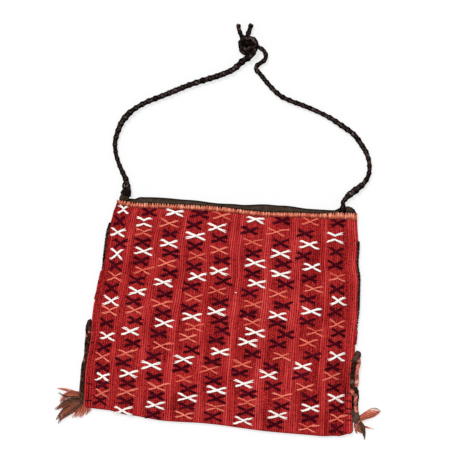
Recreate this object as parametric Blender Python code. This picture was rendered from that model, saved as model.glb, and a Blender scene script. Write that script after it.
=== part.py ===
"""Carpet shoulder bag: a flat-woven wool pouch with brocaded crosses and a knotted hair cord.

The bag lies on its back. X runs across it, Y from the fold at its base to the mouth, Z up.
The origin is in the middle of the flat underside. All lengths are in metres.
"""

import math

import bmesh
import bpy
from mathutils import Vector
from mathutils.geometry import delaunay_2d_cdt

# The pouch
MOUTH_WIDTH = 0.2906
BASE_WIDTH = 0.3236
LEFT_HEIGHT = 0.2475
RIGHT_HEIGHT = 0.258
MOUTH_OFFSET = 0.0015
CORNER_RADIUS = 0.009
CLOTH = 0.0026
POCKET_GAP = 0.0068
POCKET_RISE = 0.030
SEAM_WIDTH = 0.006
EDGE_ROUND = 0.0022
CLEARANCE = 0.0003

# How far each edge stands out from its straight line, by the share of the way along it
LEFT_WAVE = ((0, 0), (0.05, 0.0022), (0.15, 0.0053), (0.3, 0.0044), (0.42, 0.0060), (0.5, 0.0080),
             (0.75, 0.0046), (1, 0))
RIGHT_WAVE = ((0, 0), (0.13, 0.0022), (0.2, 0.0014), (0.28, 0.0042), (0.42, 0.0042), (0.6, 0.0014),
              (0.8, -0.0006), (1, 0))
FOLD_WAVE = ((0, 0), (0.08, 0.0003), (0.17, 0.0038), (0.3, 0.0064), (0.46, 0.0046), (0.7, 0.0067),
             (0.88, 0.0060), (0.95, 0.0038), (1, 0))
MOUTH_WAVE = ((0, 0), (0.08, -0.0022), (0.25, -0.001), (0.4, -0.0004), (0.61, -0.0028), (0.8, -0.0009),
              (1, 0))

# The woven crosses: each column's place across the front at the mouth and at the fold, as shares of
# the width, its number of crosses, its clearance from the fold, and how far its middle rows sit low
COLUMNS = (
    (0.032, 0.058, 19, 0.0107, 0.0096),
    (0.141, 0.145, 21, 0.0047, 0.0012),
    (0.246, 0.256, 21, 0.0057, 0.0012),
    (0.349, 0.373, 21, 0.0088, 0.0048),
    (0.439, 0.480, 21, 0.0100, 0.0072),
    (0.580, 0.593, 21, 0.0096, 0.0048),
    (0.689, 0.700, 21, 0.0098, 0.0036),
    (0.806, 0.833, 20, 0.0090, 0.0036),
    (0.918, 0.941, 19, 0.0094, 0.0110),
)
CROSS_MOUTH_MARGIN = 0.0062
CROSS_REACH = 0.0104
CROSS_RISE = 0.0044
CROSS_RELIEF = 0.0010
ARM_WIDTH = {"ivory": 0.0027, "plum": 0.0023, "apricot": 0.0017}
REPEAT = 4

# The weaver's slips: ivory crosses moved from their row in the repeat to another, ones added, and
# places where plum and apricot have changed over
MOVED_IVORY = {(0, 11): 10, (0, 15): 14, (1, 20): 19, (5, 12): 14, (6, 9): 11, (6, 13): 15,
               (7, 10): 11, (7, 14): 15, (7, 18): 17, (8, 11): 12, (8, 15): 17}
ADDED_IVORY = ((0, 16), (0, 18), (2, 20), (5, 9))
CHANGED_OVER = ((3, 9), (3, 20), (4, 9), (4, 20), (5, 10), (6, 7), (6, 8), (7, 8), (8, 14), (8, 15))

# The weaver miscounts a whole row at a time: how far each row of crosses has slipped to the right and
# how high it sits, from the fold up. A column takes part in the slips by its share, bows to the right
# in its middle, and its two halves sit high and low. A few crosses have slipped by themselves.
STRAY = 0.001
ROW_SLIPS = (0, 3, 4, 5, 0, -5, -3, 7, 2, 9, 5, -1, 3, -2, 5, 0, 4, 0, -1, -5, 0)
ROW_RISES = (0, 0, 0, -1, -1, 0, -1, 0, 2, 3, 3, 1, 1, 2, 2, 1, 1, 0, 0, 0, 1)
COLUMN_SWAYS = ((0.3, 3, -3.5), (0.7, 1, -1), (0.8, 0, -0.5), (0.9, 0, -0.5), (0.9, 2, 1), (1.1, 0, 1),
                (1.2, 1, 0.5), (1.1, -3, 0), (0.5, -4, 3))
LONE_SLIPS = {(0, 15): 5, (1, 4): 4, (6, 0): 4, (6, 1): 3, (6, 2): 6, (6, 3): 5, (6, 10): -6, (7, 16): -6}

# The plain ribs between the columns
RIB_PITCH = 0.0026
RIB_RELIEF = 0.0005
RIB_POINTS = 7

# Edging, band, stitching and braids
EDGING_WIDTH = 0.0042
EDGING_CORNER_WIDTH = 0.0072
EDGING_WIDENS = (0.82, 0.95)
EDGING_PROUD = 0.0007
STRIP_STEPS = 26
EDGING_ENDS = (0.012, 0.988)
BAND_ENDS = (0.004, 0.996)
BAND_REACH = ((0, 0.006), (0.08, 0.0108), (0.15, 0.0116), (0.3, 0.0104), (0.42, 0.0082), (0.5, 0.0095),
              (0.62, 0.013), (0.69, 0.0122), (0.8, 0.0092), (0.9, 0.0088), (0.95, 0.013), (1, 0.0135))
STITCH_RADIUS = 0.0011
LEFT_STITCHED = 8
RIGHT_STITCHED = 10
STRAND_RADIUS = 0.00155
BRAID_PITCH = 0.018
LEFT_BRAID = (0.571, 0.9545)
RIGHT_BRAID = (0.6105, 0.936)
BRAID_POINTS_A_TURN = 6

# Tassels
TIE_RADIUS = 0.0030
TUFT_THICKNESS = 0.0033
TUFT_STACK_GAP = 0.0004
TUFT_STEPS = 3
SHORT_LOCK = 0.74
SHORT_LOCK_THICKNESS = 0.62

# Each tuft: the directions it spreads between in degrees, its reach at each, and its long locks
LEFT_ORANGE_TUFT = ((165, 292), (0.034, 0.021), 6)
LEFT_BROWN_TUFT = ((172, 246), (0.036, 0.030), 4)
RIGHT_ORANGE_TUFT = ((18, 52), (0.036, 0.034), 3)
RIGHT_BROWN_TUFT = ((-76, 10), (0.021, 0.022), 4)

# Strap
CORD_RADIUS = 0.0030
LEFT_ANCHOR_DEPTH = 0.0107
RIGHT_ANCHOR_DEPTH = 0.0088
ANCHOR_HEIGHT = 0.0060
ANCHOR_WIDTH = 0.0115
LEFT_ANCHOR_SHARE = 0.045
RIGHT_ANCHOR_SHARE = 0.934
KNOT_CENTRE = (-0.002, 0.326)
KNOT_SCALE = 0.00300
KNOT_LIFT = 0.0032
KNOT_CORD_RADIUS = 0.0024
KNOT_TURN = math.radians(1)
KNOT_POINTS = 30
LEFT_CORD = (
    (-0.1318, 0.1450, 0.0047), (-0.1349, 0.1543, 0.0033),
    (-0.1397, 0.1626, 0.0031), (-0.1452, 0.1732, 0.0031), (-0.1496, 0.1851, 0.0031),
    (-0.1513, 0.1973, 0.0031), (-0.1493, 0.2098, 0.0031), (-0.1448, 0.2228, 0.0031),
    (-0.1358, 0.2352, 0.0031), (-0.1206, 0.2469, 0.0031), (-0.1053, 0.2548, 0.0031),
    (-0.0911, 0.2611, 0.0031), (-0.0770, 0.2683, 0.0031), (-0.0616, 0.2756, 0.0031),
    (-0.0472, 0.2814, 0.0031), (-0.0354, 0.2861, 0.0031), (-0.0258, 0.2904, 0.0031),
    (-0.0170, 0.2955, 0.0032), (-0.0104, 0.3022, 0.0034), (-0.0054, 0.3080, 0.0038), (0.0004, 0.3124, 0.0044),
)
RIGHT_CORD = (
    (0.1286, 0.1500, 0.0046), (0.1335, 0.1566, 0.0033),
    (0.1416, 0.1640, 0.0031), (0.1512, 0.1735, 0.0031), (0.1559, 0.1848, 0.0031),
    (0.1555, 0.1971, 0.0031), (0.1513, 0.2090, 0.0031), (0.1430, 0.2206, 0.0031),
    (0.1336, 0.2309, 0.0031), (0.1193, 0.2396, 0.0031), (0.1039, 0.2481, 0.0031),
    (0.0887, 0.2542, 0.0031), (0.0710, 0.2601, 0.0031), (0.0558, 0.2643, 0.0031),
    (0.0431, 0.2691, 0.0031), (0.0320, 0.2772, 0.0031), (0.0228, 0.2861, 0.0031), (0.0158, 0.2935, 0.0031),
)
KNOT_ENTRY = (
    (0.0106, 0.2984, 0.0031), (0.0108, 0.3030, 0.0031), (0.0152, 0.3069, 0.0031), (0.0195, 0.3110, 0.0032),
    (0.0207, 0.3165, 0.0038), (0.0180, 0.3215, 0.0050), (0.0130, 0.3246, 0.0058), (0.0083, 0.3261, 0.0060),
)
LEFT_TIP = ((-0.0095, 0.3343, 0.0058), (-0.0128, 0.3415, 0.0046), (-0.0145, 0.3455, 0.0034),
            (-0.0153, 0.3505, 0.0030))
RIGHT_TIP = ((-0.0036, 0.3346, 0.0058), (-0.0028, 0.3405, 0.0046), (-0.0014, 0.3460, 0.0036),
             (0.0000, 0.3520, 0.0034))
TIP_RADIUS = 0.0024
TIP_TAPER = 0.35
CORD_STEP = 0.0145

COLOURS = {
    "madder": (0.37, 0.025, 0.024), "ivory": (0.95, 0.92, 0.85), "plum": (0.022, 0.003, 0.022),
    "apricot": (0.72, 0.17, 0.08), "goat_hair": (0.018, 0.012, 0.010), "charcoal": (0.055, 0.045, 0.038),
    "brown": (0.09, 0.05, 0.035), "rust": (0.50, 0.11, 0.055),
}


def clear_scene():
    for old in list(bpy.data.objects):
        bpy.data.objects.remove(old, do_unlink=True)


def material(name):
    """A matt wool or hair finish in one of the bag's colours."""
    found = bpy.data.materials.get(name)
    if found:
        return found
    made = bpy.data.materials.new(name)
    made.use_nodes = True
    shader = made.node_tree.nodes["Principled BSDF"]
    shader.inputs["Base Color"].default_value = (*COLOURS[name], 1)
    shader.inputs["Roughness"].default_value = 0.9
    shader.inputs["Metallic"].default_value = 0.0
    made.diffuse_color = (*COLOURS[name], 1)
    return made


def blend(stops, share):
    """The value at a share of the way, eased between hand-set stops."""
    for (start, low), (end, high) in zip(stops, stops[1:]):
        if share <= end:
            part = (share - start) / (end - start)
            return low + (high - low) * (1 - math.cos(math.pi * part)) / 2
    return stops[-1][1]


def ease(value):
    part = min(max(value, 0.0), 1.0)
    return part * part * (3 - 2 * part)


# The outline of the pouch, drawn as four edges
MOUTH_LEFT = Vector((MOUTH_OFFSET - MOUTH_WIDTH / 2, LEFT_HEIGHT / 2))
MOUTH_RIGHT = Vector((MOUTH_OFFSET + MOUTH_WIDTH / 2, RIGHT_HEIGHT / 2))
BASE_LEFT = Vector((-BASE_WIDTH / 2, -LEFT_HEIGHT / 2))
BASE_RIGHT = Vector((BASE_WIDTH / 2, -RIGHT_HEIGHT / 2))
SIDE_STEPS = 17
FOLD_STEPS = 23
MOUTH_STEPS = 18
EDGE_BEVEL = EDGE_ROUND * 0.35


def edge_point(start, end, wave, share, side):
    """A point on one edge, moved off the straight line by its wave, to the right (1) or left (-1)."""
    line = end - start
    normal = Vector((line.y, -line.x)).normalized() * side
    return start + line * share + normal * blend(wave, share)


def left_point(share):
    return edge_point(MOUTH_LEFT, BASE_LEFT, LEFT_WAVE, share, 1)


def right_point(share):
    return edge_point(MOUTH_RIGHT, BASE_RIGHT, RIGHT_WAVE, share, -1)


def fold_point(share):
    return edge_point(BASE_LEFT, BASE_RIGHT, FOLD_WAVE, share, 1)


def mouth_point(share):
    return edge_point(MOUTH_LEFT, MOUTH_RIGHT, MOUTH_WAVE, share, -1)


def shares(start, end, steps):
    return [start + (end - start) * step / steps for step in range(steps + 1)]


def rounded_corner(before, corner, after):
    """Two points of the arc that rounds a corner of the base."""
    arc = []
    for part in (1 / 3, 2 / 3):
        first = before.lerp(corner, part)
        second = corner.lerp(after, part)
        arc.append(first.lerp(second, part))
    return arc


def side_stations(height):
    """The shares of the way down a side at which the outline has its points."""
    return shares(0, 1 - CORNER_RADIUS / height, SIDE_STEPS)


def sewn_edge():
    """The left side, the fold and the right side as one chain, from the mouth round to the mouth."""
    fold_inset = CORNER_RADIUS / BASE_WIDTH
    left = [left_point(share) for share in side_stations(LEFT_HEIGHT)]
    fold = [fold_point(share) for share in shares(fold_inset, 1 - fold_inset, FOLD_STEPS)]
    right = [right_point(share) for share in reversed(side_stations(RIGHT_HEIGHT))]
    left_corner = rounded_corner(left[-1], BASE_LEFT, fold[0])
    right_corner = rounded_corner(fold[-1], BASE_RIGHT, right[0])
    return left + left_corner + fold + right_corner + right


EDGE = sewn_edge()
EDGE_PARTS = [(start, end - start) for start, end in zip(EDGE, EDGE[1:])]


def edge_distance(point):
    """How far inside the sewn edge a point lies, below zero if it is outside."""
    best = None
    for start, part in EDGE_PARTS:
        away = point - start
        share = min(max(away.dot(part) / part.length_squared, 0), 1)
        offset = away - part * share
        if best is None or offset.length_squared < best[0]:
            best = (offset.length_squared, offset.dot(Vector((-part.y, part.x))))
    distance = math.sqrt(best[0])
    return distance if best[1] >= 0 else -distance


def mouth_distance(point):
    share = (point.x - MOUTH_LEFT.x) / MOUTH_WIDTH
    return mouth_point(min(max(share, 0), 1)).y - point.y


def inset_edge(distance, step=1):
    """The sewn edge moved inwards, without its ends at the mouth and what would fold over itself."""
    moved = []
    for index in range(1, len(EDGE) - 1, step):
        along = EDGE[index + 1] - EDGE[index - 1]
        inwards = Vector((-along.y, along.x)).normalized()
        point = EDGE[index] + inwards * distance
        if edge_distance(point) > distance * 0.97:
            moved.append(point)
    return moved


def mouth_shares():
    """Stations along the mouth: close together over the seams, then even."""
    near = [distance / MOUTH_WIDTH for distance in (EDGE_BEVEL, EDGE_ROUND, SEAM_WIDTH)]
    rise = [(SEAM_WIDTH + POCKET_RISE * part) / MOUTH_WIDTH for part in (0.3, 0.6)]
    even = shares((SEAM_WIDTH + POCKET_RISE) / MOUTH_WIDTH, 0.5, MOUTH_STEPS // 2)
    half = [0] + near + rise + even
    return half + [1 - share for share in reversed(half[:-1])]


MOUTH = [mouth_point(share) for share in mouth_shares()]
SEAM_STATION = 3


# Heights of the cloth
def rounding(point):
    """How much of the cloth's thickness is reached near the rounded edge, 0 to 1."""
    depth = max(edge_distance(point), 0)
    if depth < CLEARANCE / 10:
        return 0.0
    part = 1 - min(depth, EDGE_ROUND) / EDGE_ROUND
    return math.sqrt(max(1 - part * part, 0))


def gap_at(point):
    return POCKET_GAP * ease((edge_distance(point) - SEAM_WIDTH) / POCKET_RISE)


def under_height(point):
    return CLOTH * (1 - rounding(point))


def pocket_floor(point):
    return CLOTH


def pocket_ceiling(point):
    return CLOTH + gap_at(point)


def cloth_top(point):
    return CLOTH + CLOTH * rounding(point) + gap_at(point)


# The woven crosses
class Cross:
    """One brocaded cross: where it is, its colour, and its relief."""

    def __init__(self, centre, colour):
        self.centre = centre
        self.colour = colour
        self.half_arm = ARM_WIDTH[colour] / 2
        self.reach = Vector((CROSS_REACH, CROSS_RISE)).length
        self.arms = [Vector((side * CROSS_REACH, CROSS_RISE)).normalized() for side in (1, -1)]

    def outline(self):
        """Twelve points round the cross, from the notch on its right."""
        slope = math.atan2(CROSS_RISE, CROSS_REACH)
        side_notch = Vector((self.half_arm / math.sin(slope), 0))
        top_notch = Vector((0, self.half_arm / math.cos(slope)))
        points = []
        notches = (side_notch, top_notch, -side_notch, -top_notch)
        ends = (self.arms[0], self.arms[1], -self.arms[0], -self.arms[1])
        for notch, arm in zip(notches, ends):
            across = Vector((-arm.y, arm.x)) * self.half_arm
            points += [notch, arm * self.reach - across, arm * self.reach + across]
        return [self.fitted(self.centre + point) for point in points]

    def ridges(self):
        """The ridge lines: along both arms of a thick ivory cross, and only a peak on the thinner ones."""
        if self.colour != "ivory":
            return [[self.centre]]
        lines = []
        for arm in self.arms:
            end = arm * (self.reach - self.half_arm)
            lines.append([self.fitted(self.centre - end), self.centre, self.fitted(self.centre + end)])
        return lines

    def fitted(self, point):
        """A point drawn towards the centre until it is clear of the edges."""
        while edge_distance(point) < EDGE_ROUND * 1.3 or mouth_distance(point) < EDGE_ROUND / 2:
            point = point.lerp(self.centre, 0.1)
        return point

    def relief(self, point):
        away = point - self.centre
        if away.length > self.reach + self.half_arm:
            return 0.0
        best = 0.0
        for arm in self.arms:
            along = abs(away.dot(arm))
            across = abs(away.x * arm.y - away.y * arm.x) / self.half_arm
            if self.colour == "ivory":
                fall = max((along - self.reach + self.half_arm) / self.half_arm, 0)
            else:
                fall = along / self.reach
            best = max(best, 1 - max(across, fall))
        return CROSS_RELIEF * best


def ivory_rows(column, rows):
    """Every fourth row, one row higher in each column to the right, with the weaver's slips."""
    regular = [row for row in range(rows) if row % REPEAT == (column - 1) % REPEAT]
    moved = [MOVED_IVORY.get((column, row), row) for row in regular]
    return sorted(moved + [row for place, row in ADDED_IVORY if place == column])


def cross_colours(column, rows):
    """Ivory rows, an apricot row midway between them, and plum for all others, from the fold up."""
    other = {"plum": "apricot", "apricot": "plum"}
    ivory = ivory_rows(column, rows)
    apricot = [ivory[0] - REPEAT // 2, ivory[-1] + REPEAT // 2]
    apricot += [(low + high + 1) // 2 for low, high in zip(ivory, ivory[1:]) if high - low > REPEAT // 2]
    colours = []
    for row in range(rows):
        colour = "ivory" if row in ivory else "apricot" if row in apricot else "plum"
        colours.append(other[colour] if (column, row) in CHANGED_OVER else colour)
    return colours


def column_point(column, share):
    """A point of a column, by its share of the way down from the mouth to the fold."""
    at_mouth, at_fold, _, fold_margin, low = COLUMNS[column]
    top = mouth_point(at_mouth) - Vector((0, CROSS_MOUTH_MARGIN))
    foot = fold_point(at_fold) + Vector((0, fold_margin))
    across = at_mouth + (at_fold - at_mouth) * share
    bulge = across * blend(RIGHT_WAVE, share) - (1 - across) * blend(LEFT_WAVE, share)
    return top.lerp(foot, share) + Vector((bulge, -4 * low * share * (1 - share)))


def stray(column, row):
    """How far a cross lies from its place in the column, as its row and its column have strayed."""
    rows = COLUMNS[column][2]
    share = row / (rows - 1)
    full = len(ROW_SLIPS)
    counted = row if row < full // 2 else row + full - rows
    taken, bow, lean = COLUMN_SWAYS[column]
    right = taken * ROW_SLIPS[counted] + 4 * bow * share * (1 - share) + LONE_SLIPS.get((column, row), 0)
    up = ROW_RISES[counted] + lean * math.sin(2 * math.pi * share)
    return Vector((right, up)) * STRAY


def woven_crosses():
    crosses = []
    for column, (_, _, rows, _, _) in enumerate(COLUMNS):
        for row, colour in enumerate(cross_colours(column, rows)):
            place = column_point(column, 1 - row / (rows - 1))
            place += stray(column, row)
            crosses.append(Cross(place, colour))
    return crosses


def rib_bands():
    """The share of the width, at the mouth and at the fold, of each plain band between columns."""
    inner = [((a[0] + b[0]) / 2, (a[1] + b[1]) / 2) for a, b in zip(COLUMNS, COLUMNS[1:])]
    right = ((1 + COLUMNS[-1][0]) / 2, (1 + COLUMNS[-1][1]) / 2)
    return inner + [right]


def band_line(band, offset):
    """One rib line of a band, from the mouth to the fold."""
    top = mouth_point(band[0]) - Vector((0, EDGE_ROUND))
    foot = fold_point(band[1]) + Vector((0, EDGE_ROUND * 1.5))
    line = []
    for share in shares(0, 1, RIB_POINTS - 1):
        across = band[0] + (band[1] - band[0]) * share
        bulge = across * blend(RIGHT_WAVE, share) - (1 - across) * blend(LEFT_WAVE, share)
        line.append(top.lerp(foot, share) + Vector((bulge + offset, 0)))
    return line


# The body of cloth
class Drawing:
    """Points and lines in the plane, to be filled with triangles."""

    def __init__(self):
        self.points = []
        self.lines = []

    def dots(self, points):
        self.points += points

    def chain(self, points, closed=False):
        first = len(self.points)
        self.points += points
        last = len(self.points) - 1
        self.lines += [(index, index + 1) for index in range(first, last)]
        if closed:
            self.lines.append((last, first))

    def fill(self):
        result = delaunay_2d_cdt(self.points, self.lines, [], 1, 1e-6)
        return result[0], result[2]


def closed_outline():
    """The whole outline as one loop: the sewn edge, then back along the mouth."""
    return EDGE + list(reversed(MOUTH[1:-1]))


def edge_ring(distance, station):
    """A line inside the sewn edge that ends on the mouth's own stations."""
    return [MOUTH[station]] + inset_edge(distance) + [MOUTH[-1 - station]]


def add_patch(body, drawing, height, paint=None):
    points, faces = drawing.fill()
    corners = [body.verts.new((point.x, point.y, height(point))) for point in points]
    for face in faces:
        made = body.faces.new([corners[index] for index in face])
        if paint:
            made.material_index = paint(made.calc_center_median().xy)


def front_patch(body, crosses):
    """The front of the bag: the plain cloth, its ribs, and the crosses as low ridges."""
    drawing = Drawing()
    drawing.chain(closed_outline(), closed=True)
    drawing.chain(edge_ring(EDGE_BEVEL, 1))
    drawing.chain(edge_ring(EDGE_ROUND, 2))
    for part in (0.35, 0.65, 1.0):
        rising = inset_edge(SEAM_WIDTH + POCKET_RISE * part, 3)
        drawing.dots([point for point in rising if mouth_distance(point) > SEAM_WIDTH])
    ribs = {}
    for band in rib_bands():
        for line in (-1, 0, 1):
            points = band_line(band, line * RIB_PITCH)
            drawing.chain(points)
            if line == 0:
                ribs.update({(round(point.x, 6), round(point.y, 6)): RIB_RELIEF for point in points})
    for cross in crosses:
        drawing.chain(cross.outline(), closed=True)
        for line in cross.ridges():
            drawing.chain(line)

    def nearby(point):
        return [cross for cross in crosses if abs(cross.centre.y - point.y) < 2 * CROSS_RISE]

    def height(point):
        if edge_distance(point) < EDGE_ROUND or mouth_distance(point) < CLEARANCE:
            return cloth_top(point)
        relief = max([cross.relief(point) for cross in nearby(point)], default=0)
        rib = ribs.get((round(point.x, 6), round(point.y, 6)), 0)
        return cloth_top(point) + max(relief, rib)

    names = list(ARM_WIDTH)

    def paint(point):
        for cross in nearby(point):
            if cross.relief(point) > CROSS_RELIEF * 0.08:
                return 1 + names.index(cross.colour)
        return 0

    add_patch(body, drawing, height, paint)


def back_patch(body):
    drawing = Drawing()
    drawing.chain(closed_outline(), closed=True)
    drawing.chain(edge_ring(EDGE_BEVEL, 1))
    drawing.chain(edge_ring(EDGE_ROUND, 2))
    add_patch(body, drawing, under_height)


def pocket_outline():
    inner_mouth = MOUTH[SEAM_STATION:len(MOUTH) - SEAM_STATION]
    return inset_edge(SEAM_WIDTH) + list(reversed(inner_mouth))


def pocket_patches(body):
    """The inside of the bag: its floor on the back cloth and its ceiling under the front cloth."""
    floor = Drawing()
    floor.chain(pocket_outline(), closed=True)
    add_patch(body, floor, pocket_floor)
    ceiling = Drawing()
    ceiling.chain(pocket_outline(), closed=True)
    for part in (0.25, 0.5, 0.75, 1.0):
        rising = inset_edge(SEAM_WIDTH + POCKET_RISE * part, 2)
        ceiling.dots([point for point in rising if mouth_distance(point) > SEAM_WIDTH])
    add_patch(body, ceiling, pocket_ceiling)


def rim_faces(body):
    """The cut ends of the cloth round the open mouth."""
    def corner(station, height):
        point = MOUTH[station]
        return body.verts.new((point.x, point.y, height(point)))

    last = len(MOUTH) - 1
    for station in range(last):
        pair = (station, station + 1)
        top = [corner(place, cloth_top) for place in pair]
        foot = [corner(place, under_height) for place in pair]
        if SEAM_STATION <= station < last - SEAM_STATION:
            ceiling = [corner(place, pocket_ceiling) for place in pair]
            floor = [corner(place, pocket_floor) for place in pair]
            body.faces.new((top[0], top[1], ceiling[1], ceiling[0]))
            body.faces.new((floor[0], floor[1], foot[1], foot[0]))
        elif station == SEAM_STATION - 1:
            body.faces.new((foot[0], foot[1], corner(station + 1, pocket_floor), top[1], top[0]))
        elif station == last - SEAM_STATION:
            body.faces.new((foot[0], foot[1], top[1], top[0], corner(station, pocket_floor)))
        elif station == 0:
            body.faces.new((foot[0], foot[1], top[1]))
        elif station == last - 1:
            body.faces.new((foot[0], foot[1], top[0]))
        else:
            body.faces.new((foot[0], foot[1], top[1], top[0]))


def finish_mesh(body, name, finishes):
    """Joins shared corners, turns the faces outwards and makes the object."""
    bmesh.ops.remove_doubles(body, verts=body.verts, dist=CLEARANCE / 20)
    bmesh.ops.dissolve_degenerate(body, edges=body.edges, dist=1e-7)
    bmesh.ops.triangulate(body, faces=body.faces)
    bmesh.ops.recalc_face_normals(body, faces=body.faces)
    mesh = bpy.data.meshes.new(name)
    body.to_mesh(mesh)
    body.free()
    for finish in finishes:
        mesh.materials.append(material(finish))
    return add_object(name, mesh)


def add_object(name, data, location=(0, 0, 0)):
    made = bpy.data.objects.new(name, data)
    made.location = location
    made.parent = bpy.data.objects["carpet_shoulder_bag"]
    bpy.context.scene.collection.objects.link(made)
    return made


def make_kilim_body():
    body = bmesh.new()
    front_patch(body, woven_crosses())
    back_patch(body)
    pocket_patches(body)
    rim_faces(body)
    made = finish_mesh(body, "kilim_body", ["madder"] + list(ARM_WIDTH))
    made.data.shade_smooth()
    made.data.set_sharp_from_angle(angle=math.radians(20))


# Trim along the mouth
def edging_width(share):
    """The edging grows wider at the right corner, where it is worked round the strap."""
    start, end = EDGING_WIDENS
    return EDGING_WIDTH + (EDGING_CORNER_WIDTH - EDGING_WIDTH) * ease((share - start) / (end - start))


def mouth_strip(name, stations, section, finish):
    """A strip along the mouth: section(share, point) gives its outline as (outwards, height)."""
    body = bmesh.new()
    rings = []
    for share in stations:
        step = 1e-3
        along = mouth_point(min(share + step, 1)) - mouth_point(max(share - step, 0))
        outwards = Vector((-along.y, along.x)).normalized()
        point = mouth_point(share)
        ring = []
        for reach, height in section(share, point):
            place = point + outwards * reach
            ring.append(body.verts.new((place.x, place.y, height)))
        rings.append(ring)
    for ring, following in zip(rings, rings[1:]):
        for index in range(len(ring)):
            after = (index + 1) % len(ring)
            body.faces.new((ring[index], ring[after], following[after], following[index]))
    body.faces.new(rings[0])
    body.faces.new(rings[-1])
    made = finish_mesh(body, name, [finish])
    made.data.shade_smooth()
    made.data.set_sharp_from_angle(angle=math.radians(50))


def edging_section(share, point):
    near = CLEARANCE
    far = CLEARANCE + edging_width(share)
    top = cloth_top(point) + EDGING_PROUD
    foot = max(pocket_ceiling(point) - EDGING_PROUD, CLOTH + CLEARANCE)
    soft = (top - foot) / 4
    return ((near, foot), (far - soft, foot), (far, foot + soft),
            (far, top - soft), (far - soft, top), (near, top))


def band_section(share, point):
    near = CLEARANCE
    far = CLEARANCE + blend(BAND_REACH, share)
    soft = CLOTH / 3
    return ((near, 0), (far - soft, 0), (far, soft), (far, CLOTH - soft), (far - soft, CLOTH), (near, CLOTH))


# Tubes: stitching, braids and cords
def smooth_route(points, step):
    """Points read at even steps from a smooth curve through hand-set ones."""
    knots = [Vector(point) for point in points]
    ends = [2 * knots[0] - knots[1]] + knots + [2 * knots[-1] - knots[-2]]
    fine = []
    for before, start, end, after in zip(ends, ends[1:], ends[2:], ends[3:]):
        for part in range(12):
            t = part / 12
            bend = 2 * before - 5 * start + 4 * end - after
            twist = -before + 3 * start - 3 * end + after
            fine.append(0.5 * (2 * start + (end - before) * t + bend * t ** 2 + twist * t ** 3))
    fine.append(knots[-1])
    lengths = [0.0]
    for first, second in zip(fine, fine[1:]):
        lengths.append(lengths[-1] + (second - first).length)
    count = max(2, round(lengths[-1] / step))
    route = []
    index = 0
    for number in range(count + 1):
        target = lengths[-1] * number / count
        while index < len(fine) - 2 and lengths[index + 1] < target:
            index += 1
        part = (target - lengths[index]) / (lengths[index + 1] - lengths[index])
        route.append(fine[index].lerp(fine[index + 1], part))
    return route


def tube(name, points, radius, finish, sides=2, closed=False, radii=None):
    """A round tube along its points, with filled ends."""
    curve = bpy.data.curves.new(name, "CURVE")
    curve.dimensions = "3D"
    curve.bevel_depth = radius
    curve.bevel_resolution = sides
    curve.use_fill_caps = not closed
    spline = curve.splines.new("POLY")
    spline.points.add(len(points) - 1)
    for index, point in enumerate(points):
        spline.points[index].co = (*point, 1)
        spline.points[index].radius = radii[index] if radii else 1
    spline.use_cyclic_u = closed
    curve.materials.append(material(finish))
    return add_object(name, curve)


def side_offset(point_at, share, side, distance):
    """A point outside one side of the bag. side is 1 for the left edge and -1 for the right."""
    step = 1e-3
    along = point_at(min(share + step, 1)) - point_at(max(share - step, 0))
    outwards = Vector((along.y, -along.x)).normalized() * side
    return point_at(share) + outwards * distance, outwards


def make_stitching(name, point_at, side, stations):
    """Overcast stitching along an upper side, from one station of the outline to another."""
    points = []
    for share in stations:
        place, _ = side_offset(point_at, share, side, STITCH_RADIUS + CLEARANCE)
        points.append((place.x, place.y, CLOTH))
    tube(name, points, STITCH_RADIUS, "goat_hair", sides=1)


BRAID_ORBIT = STRAND_RADIUS + CLEARANCE
BRAID_RADIUS = BRAID_ORBIT + STRAND_RADIUS


def make_braid(name, point_at, side, span):
    """Two yarn strands twisted round each other beside a lower side."""
    start, end = span
    length = (end - start) * (point_at(0).y - point_at(1).y)
    count = round(length / BRAID_PITCH * BRAID_POINTS_A_TURN)
    for colour, phase in (("brown", 0.0), ("orange", math.pi)):
        points = []
        for number in range(count + 1):
            share = start + (end - start) * number / count
            centre, outwards = side_offset(point_at, share, side, BRAID_RADIUS + CLEARANCE)
            turn = 2 * math.pi * number / BRAID_POINTS_A_TURN + phase
            place = centre + outwards * BRAID_ORBIT * math.cos(turn)
            points.append((place.x, place.y, BRAID_RADIUS + CLEARANCE / 3 + BRAID_ORBIT * math.sin(turn)))
        finish = "brown" if colour == "brown" else "rust"
        tube(f"{name}_{colour}", points, STRAND_RADIUS, finish, sides=1)


# Tassels
def tie_place(point_at, side, share):
    """The middle of a tassel's tie, just below the end of its braid."""
    centre, _ = side_offset(point_at, share, side, BRAID_RADIUS + CLEARANCE)
    return Vector((centre.x, centre.y - STRAND_RADIUS / 2 - TIE_RADIUS - CLEARANCE))


def make_tie(name, place):
    body = bmesh.new()
    bmesh.ops.create_uvsphere(body, u_segments=10, v_segments=6, radius=TIE_RADIUS)
    mesh = bpy.data.meshes.new(name)
    body.to_mesh(mesh)
    body.free()
    mesh.materials.append(material("goat_hair"))
    mesh.shade_smooth()
    add_object(name, mesh, (place.x, place.y, TIE_RADIUS))


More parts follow.
